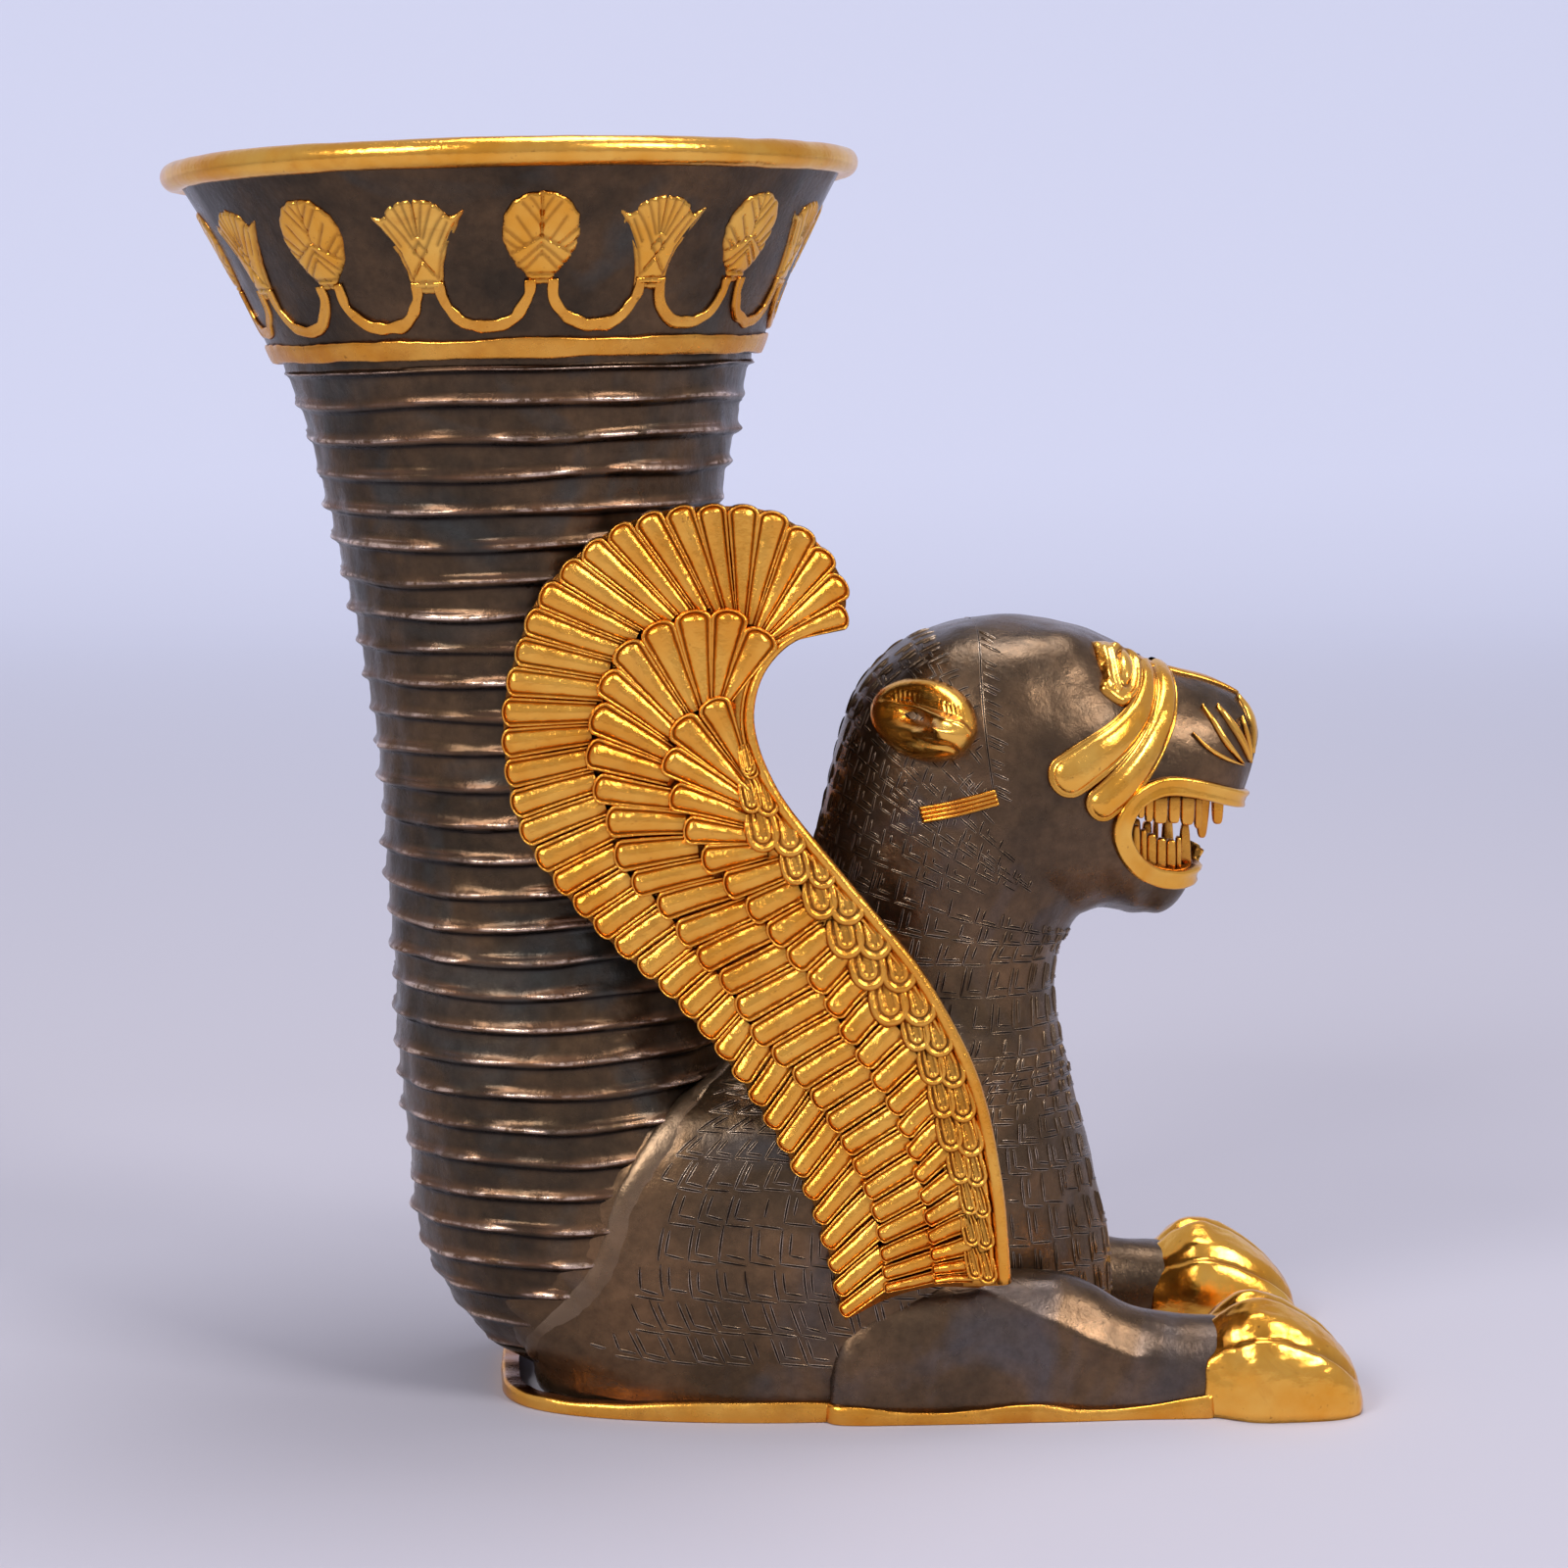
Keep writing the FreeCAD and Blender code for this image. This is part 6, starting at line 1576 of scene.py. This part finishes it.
# way in from a feather's edge to its middle, height: rolled edge, groove, outlined flat tongue
FEATHER_SHARES = ((0.0, -0.8), (0.02, -0.1), (0.05, 0.45), (0.11, 0.84), (0.18, 0.92), (0.25, 0.76),
                  (0.30, 0.34), (0.335, 0.34), (0.38, 0.62), (0.46, 0.84), (0.60, 1.06), (0.80, 1.22),
                  (1.0, 1.26))
# painted shade across a feather's section: its edge and its groove
FEATHER_SHADE = (1.0, 1.0, 0.60, 0.05, 0.0, 0.15, 0.85, 0.85, 0.10, 0.0, 0.0, 0.0, 0.0)


def wing_line(shares, count):
    """Smooth line on the wing through shares of its reach and rise."""
    points = np.array(shares) * (WING_REACH, WING_RISE) + (WING_BACK, WING_FOOT)
    return smooth_line(points, count)


tips = wing_line(WING_TIP_SHARES, LINE_STEPS)
primary_roots = wing_line(PRIMARY_ROOT_SHARES, LINE_STEPS)
secondary_roots = wing_line(SECONDARY_ROOT_SHARES, LINE_STEPS)
tertiary_roots = wing_line(TERTIARY_ROOT_SHARES, LINE_STEPS)
leading_edge = wing_line(WING_EDGE_SHARES, 400)
foot_edge = wing_line(WING_FOOT_SHARES, 40)


def where_at(line, z):
    """Places along the lion where a line on the wing crosses given heights."""
    rising = line if line[-1, 1] > line[0, 1] else line[::-1]
    return np.interp(z, rising[:, 1], rising[:, 0])


def on_wing(x, z, lift, side):
    """Places points, given in side view, in front of a wing's sheet on one side of the lion."""
    y = side * (WING_STAND + WING_SHEET + lift)
    x, y, z = np.broadcast_arrays(x, y, z)
    lean = LEFT_WING_LEAN if side > 0 else 0.0
    foot_x, foot_z = WING_BACK + WING_REACH, WING_FOOT
    off_x, off_z = x - foot_x, z - foot_z
    return np.stack([foot_x + off_x * math.cos(lean) - off_z * math.sin(lean), y,
                     foot_z + off_x * math.sin(lean) + off_z * math.cos(lean)], -1)


def feather_row(tip_line, root_line, count, growth, low, high, thick, overlap, side, seed):
    """One row of feathers. A row starts low at its roots and rides high on the row outside it."""
    feather_draw = np.random.default_rng(seed)
    parts = []
    heights = np.array([height for _, height in FEATHER_SHARES])[:, None]
    for step in range(count):
        ways = (np.array([step, step + 0.5, step + 1.0]) / count) ** growth
        ends = tip_line[(ways * (LINE_STEPS - 1)).astype(int)]
        roots = root_line[(curve_at(ROOT_MATCH_SHARES, ways)[:, 0] * (LINE_STEPS - 1)).astype(int)]
        way = ends[1] - roots[1]
        length = np.linalg.norm(way)
        way /= length
        side_way = np.array([-way[1], way[0]])
        gap = 1.04 - 0.06 * (1 - ways[1]) * feather_draw.uniform(0.4, 1.3)
        root_reach = abs((roots[2] - roots[0]) @ side_way) / 2 * gap
        tip_reach = abs((ends[2] - ends[0]) @ side_way) / 2 * gap
        nose = min(tip_reach * 0.62, length * 0.3)
        reach_out = length + overlap - nose
        start = roots[1] - way * 0.6 * MM
        axis = np.array([start, start + way * reach_out * 0.5, start + way * reach_out])
        bend = side_way * feather_draw.uniform(-0.12, 0.12) * MM
        axis[1] += bend
        widths = [root_reach, (root_reach + tip_reach) / 2, tip_reach]
        flat, way_in, along = leaf(axis, np.array(widths), nose, FEATHER_SHARES, 14, 11)
        base = low + (high - low) * along ** 2
        hump = thick * (0.80 + 0.20 * along ** 3) * feather_draw.uniform(0.92, 1.06)
        lift = base + heights * hump
        lift += 0.07 * MM * waves(flat / MM, 1.5, seed + step, 8) * (heights > 0.3)
        dirt_and_shade = np.array(FEATHER_SHADE)[:, None] * feather_draw.uniform(0.75, 1.0) * np.ones(along.shape)
        # More painted shade toward the root, under the row above.
        dirt_and_shade = np.clip(dirt_and_shade + 0.5 * np.clip(0.12 - along, 0, 1) / 0.12, 0, 1)
        parts.append((on_wing(flat[..., 0], flat[..., 1], lift, side),
                      grid_faces(len(FEATHER_SHARES), flat.shape[1], False), dirt_and_shade))
    return parts


# way in from a covert's edge, height: a double arc round a small hollow
COVERT_SHARES = ((0.0, -0.9), (0.04, 0.1), (0.12, 0.80), (0.24, 1.0), (0.36, 0.85), (0.44, 0.20),
                 (0.52, 0.20), (0.60, 0.75), (0.70, 0.80), (0.80, 0.35), (0.90, 0.25), (1.0, 0.25))
# painted shade across a covert's section: its edge and its hollow
COVERT_SHADE = (1.0, 1.0, 0.35, 0.0, 0.0, 0.80, 0.75, 0.0, 0.05, 0.60, 0.35, 0.2)
COVERT_WAY = (0.22, -0.975)
COVERT_LENGTH = 3.8 * MM


def covert_columns(side):
    """Two columns of small crescents between the inner feathers and the leading wire."""
    covert_draw = np.random.default_rng(700)
    parts = []
    heights = np.array([height for _, height in COVERT_SHARES])[:, None]
    top, low = tertiary_roots[-1][1] - 1.0 * MM, WING_FOOT + 7.0 * MM
    way = np.array(COVERT_WAY)
    for step in range(COVERT_COUNT):
        for column in (1, 0):
            z = low + (top - low) * (step + 0.1 - 0.12 * column) / (COVERT_COUNT - 1)
            inner = where_at(tertiary_roots, z) - 0.3 * MM
            outer = where_at(leading_edge, z) - 2.9 * MM
            reach = max((outer - inner) / 4 * 1.55, 1.5 * MM)
            middle = np.array([inner + (outer - inner) * (0.25 + 0.5 * column), z + 1.4 * MM])
            middle = middle + covert_draw.normal(0.0, 0.15, 2) * MM
            axis = np.array([middle - way * COVERT_LENGTH, middle - way * COVERT_LENGTH / 2, middle])
            widths = np.array([reach * 0.8, reach, reach]) * covert_draw.uniform(0.92, 1.06)
            flat, way_in, along = leaf(axis, widths, reach * 1.05, COVERT_SHARES, 9, 17)
            lift = 0.90 * MM + 0.95 * MM * along + heights * 0.80 * MM
            edge = where_at(leading_edge, flat[..., 1]) - 1.7 * MM
            flat = np.stack([np.minimum(flat[..., 0], edge), flat[..., 1]], -1)
            dirt_and_shade = np.array(COVERT_SHADE)[:, None] * np.ones(along.shape)
            parts.append((on_wing(flat[..., 0], flat[..., 1], lift, side),
                          grid_faces(len(COVERT_SHARES), flat.shape[1], False), dirt_and_shade))
    return parts


def ribbon(inner, outer, lift, side):
    """Flat gilt ground between two lines on the wing."""
    rows = [on_wing(line[:, 0], line[:, 1], height, side)
            for line, height in ((inner, -0.2 * MM), (inner, lift), (outer, lift), (outer, -0.2 * MM))]
    rings = np.stack(rows, axis=1)
    # Painted shade over the whole ground.
    return rings, capped_faces(len(rings), 4), np.full(rings.shape[:2], 0.30)


def tube(line, radii, lifts, side, sides=16):
    """Round wire along a flat line on the wing."""
    turn = np.arange(sides) * 2 * math.pi / sides
    flat = line[:, None] + sides_of(line)[:, None] * (np.cos(turn) * radii[:, None])[..., None]
    rings = on_wing(flat[..., 0], flat[..., 1], lifts[:, None] + np.sin(turn) * radii[:, None] * 1.25, side)
    # Painted shade on the wire's underside, toward the sheet.
    sunk = np.clip(-np.sin(turn) * 1.4 + 0.1, 0, 1) * np.ones((len(line), 1))
    return rings, capped_faces(len(line), sides), sunk


wing_gilt = fire_gilding("wing_gilt_finish", (0.98, 0.50, 0.085), (0.88, 0.36, 0.04), (0.45, 0.13, 0.02),
                         0.20, 0.35, 0.00030)
# outer and root line, count, growth toward the tip, low and high end, thickness, overlap, seed
FEATHER_ROWS = (
    (tips, primary_roots, PRIMARY_COUNT, 1.10, 0.05 * MM, 0.25 * MM, 1.05 * MM, 0.55 * MM, 400),
    (primary_roots, secondary_roots, SECONDARY_COUNT, 1.28, 0.30 * MM, 0.85 * MM, 1.15 * MM, 1.0 * MM, 500),
    (secondary_roots, tertiary_roots, TERTIARY_COUNT, 1.38, 0.55 * MM, 1.15 * MM, 1.15 * MM, 1.0 * MM, 600),
)
drawn_in = tips - sides_of(tips) * 0.6 * MM
outline = np.concatenate([drawn_in[::8], leading_edge[::5], foot_edge])
wire_line = leading_edge[::4]
inward = -sides_of(wire_line)
wire_place = np.linspace(0, 1, len(wire_line))
radii = WIRE_RADIUS * (np.clip(0.62 + 1.4 * wire_place, 0.62, 1.0) + 0.45 * np.clip(wire_place - 0.45, 0, 1))
lifts = np.clip(0.2 + 3.0 * wire_place, 0.2, 1.35) * MM
levels_up = np.linspace(WING_FOOT + 6.0 * MM, tertiary_roots[-1][1], 60)
root_x = where_at(tertiary_roots, levels_up) - 1.0 * MM
edge_x = where_at(leading_edge, levels_up) - 1.0 * MM
for side, side_name in ((-1, "right"), (1, "left")):
    # The sheet is darkened all over as painted shade, where it shows between the feathers.
    sheet_rings = [on_wing(outline[:, 0], outline[:, 1], -WING_SHEET * share, side) for share in (1, 0.5, 0)]
    plate = join_parts("wing_sheet_" + side_name, [(np.array(sheet_rings), capped_faces(3, len(outline)),
                                                    np.full((3, len(outline)), 0.85))])
    feathers = []
    for *row, seed in FEATHER_ROWS:
        feathers += feather_row(*row, side, seed)
    feathers += covert_columns(side)
    feathers.append(ribbon(wire_line + inward * 4.5 * MM, wire_line + inward * 0.5 * MM, 0.45 * MM, side))
    feathers.append(ribbon(np.stack([root_x, levels_up], -1), np.stack([edge_x, levels_up], -1),
                           0.95 * MM, side))
    feathering = join_parts("wing_feathering_" + side_name, feathers)
    wires = [tube(wire_line + inward * radii[:, None] * 0.9, radii, lifts, side),
             tube(wire_line + inward * (radii * 2.35)[:, None], radii * 0.34, lifts + 0.1 * MM, side, 8)]
    wire = join_parts("wing_wire_" + side_name, wires)
    for piece, node in ((plate, "wing_plate_"), (feathering, "wing_feathers_"), (wire, "wing_rim_")):
        piece.data.materials.append(wing_gilt)
        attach(piece, "root")
        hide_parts(node + side_name)


bpy.context.view_layer.update()
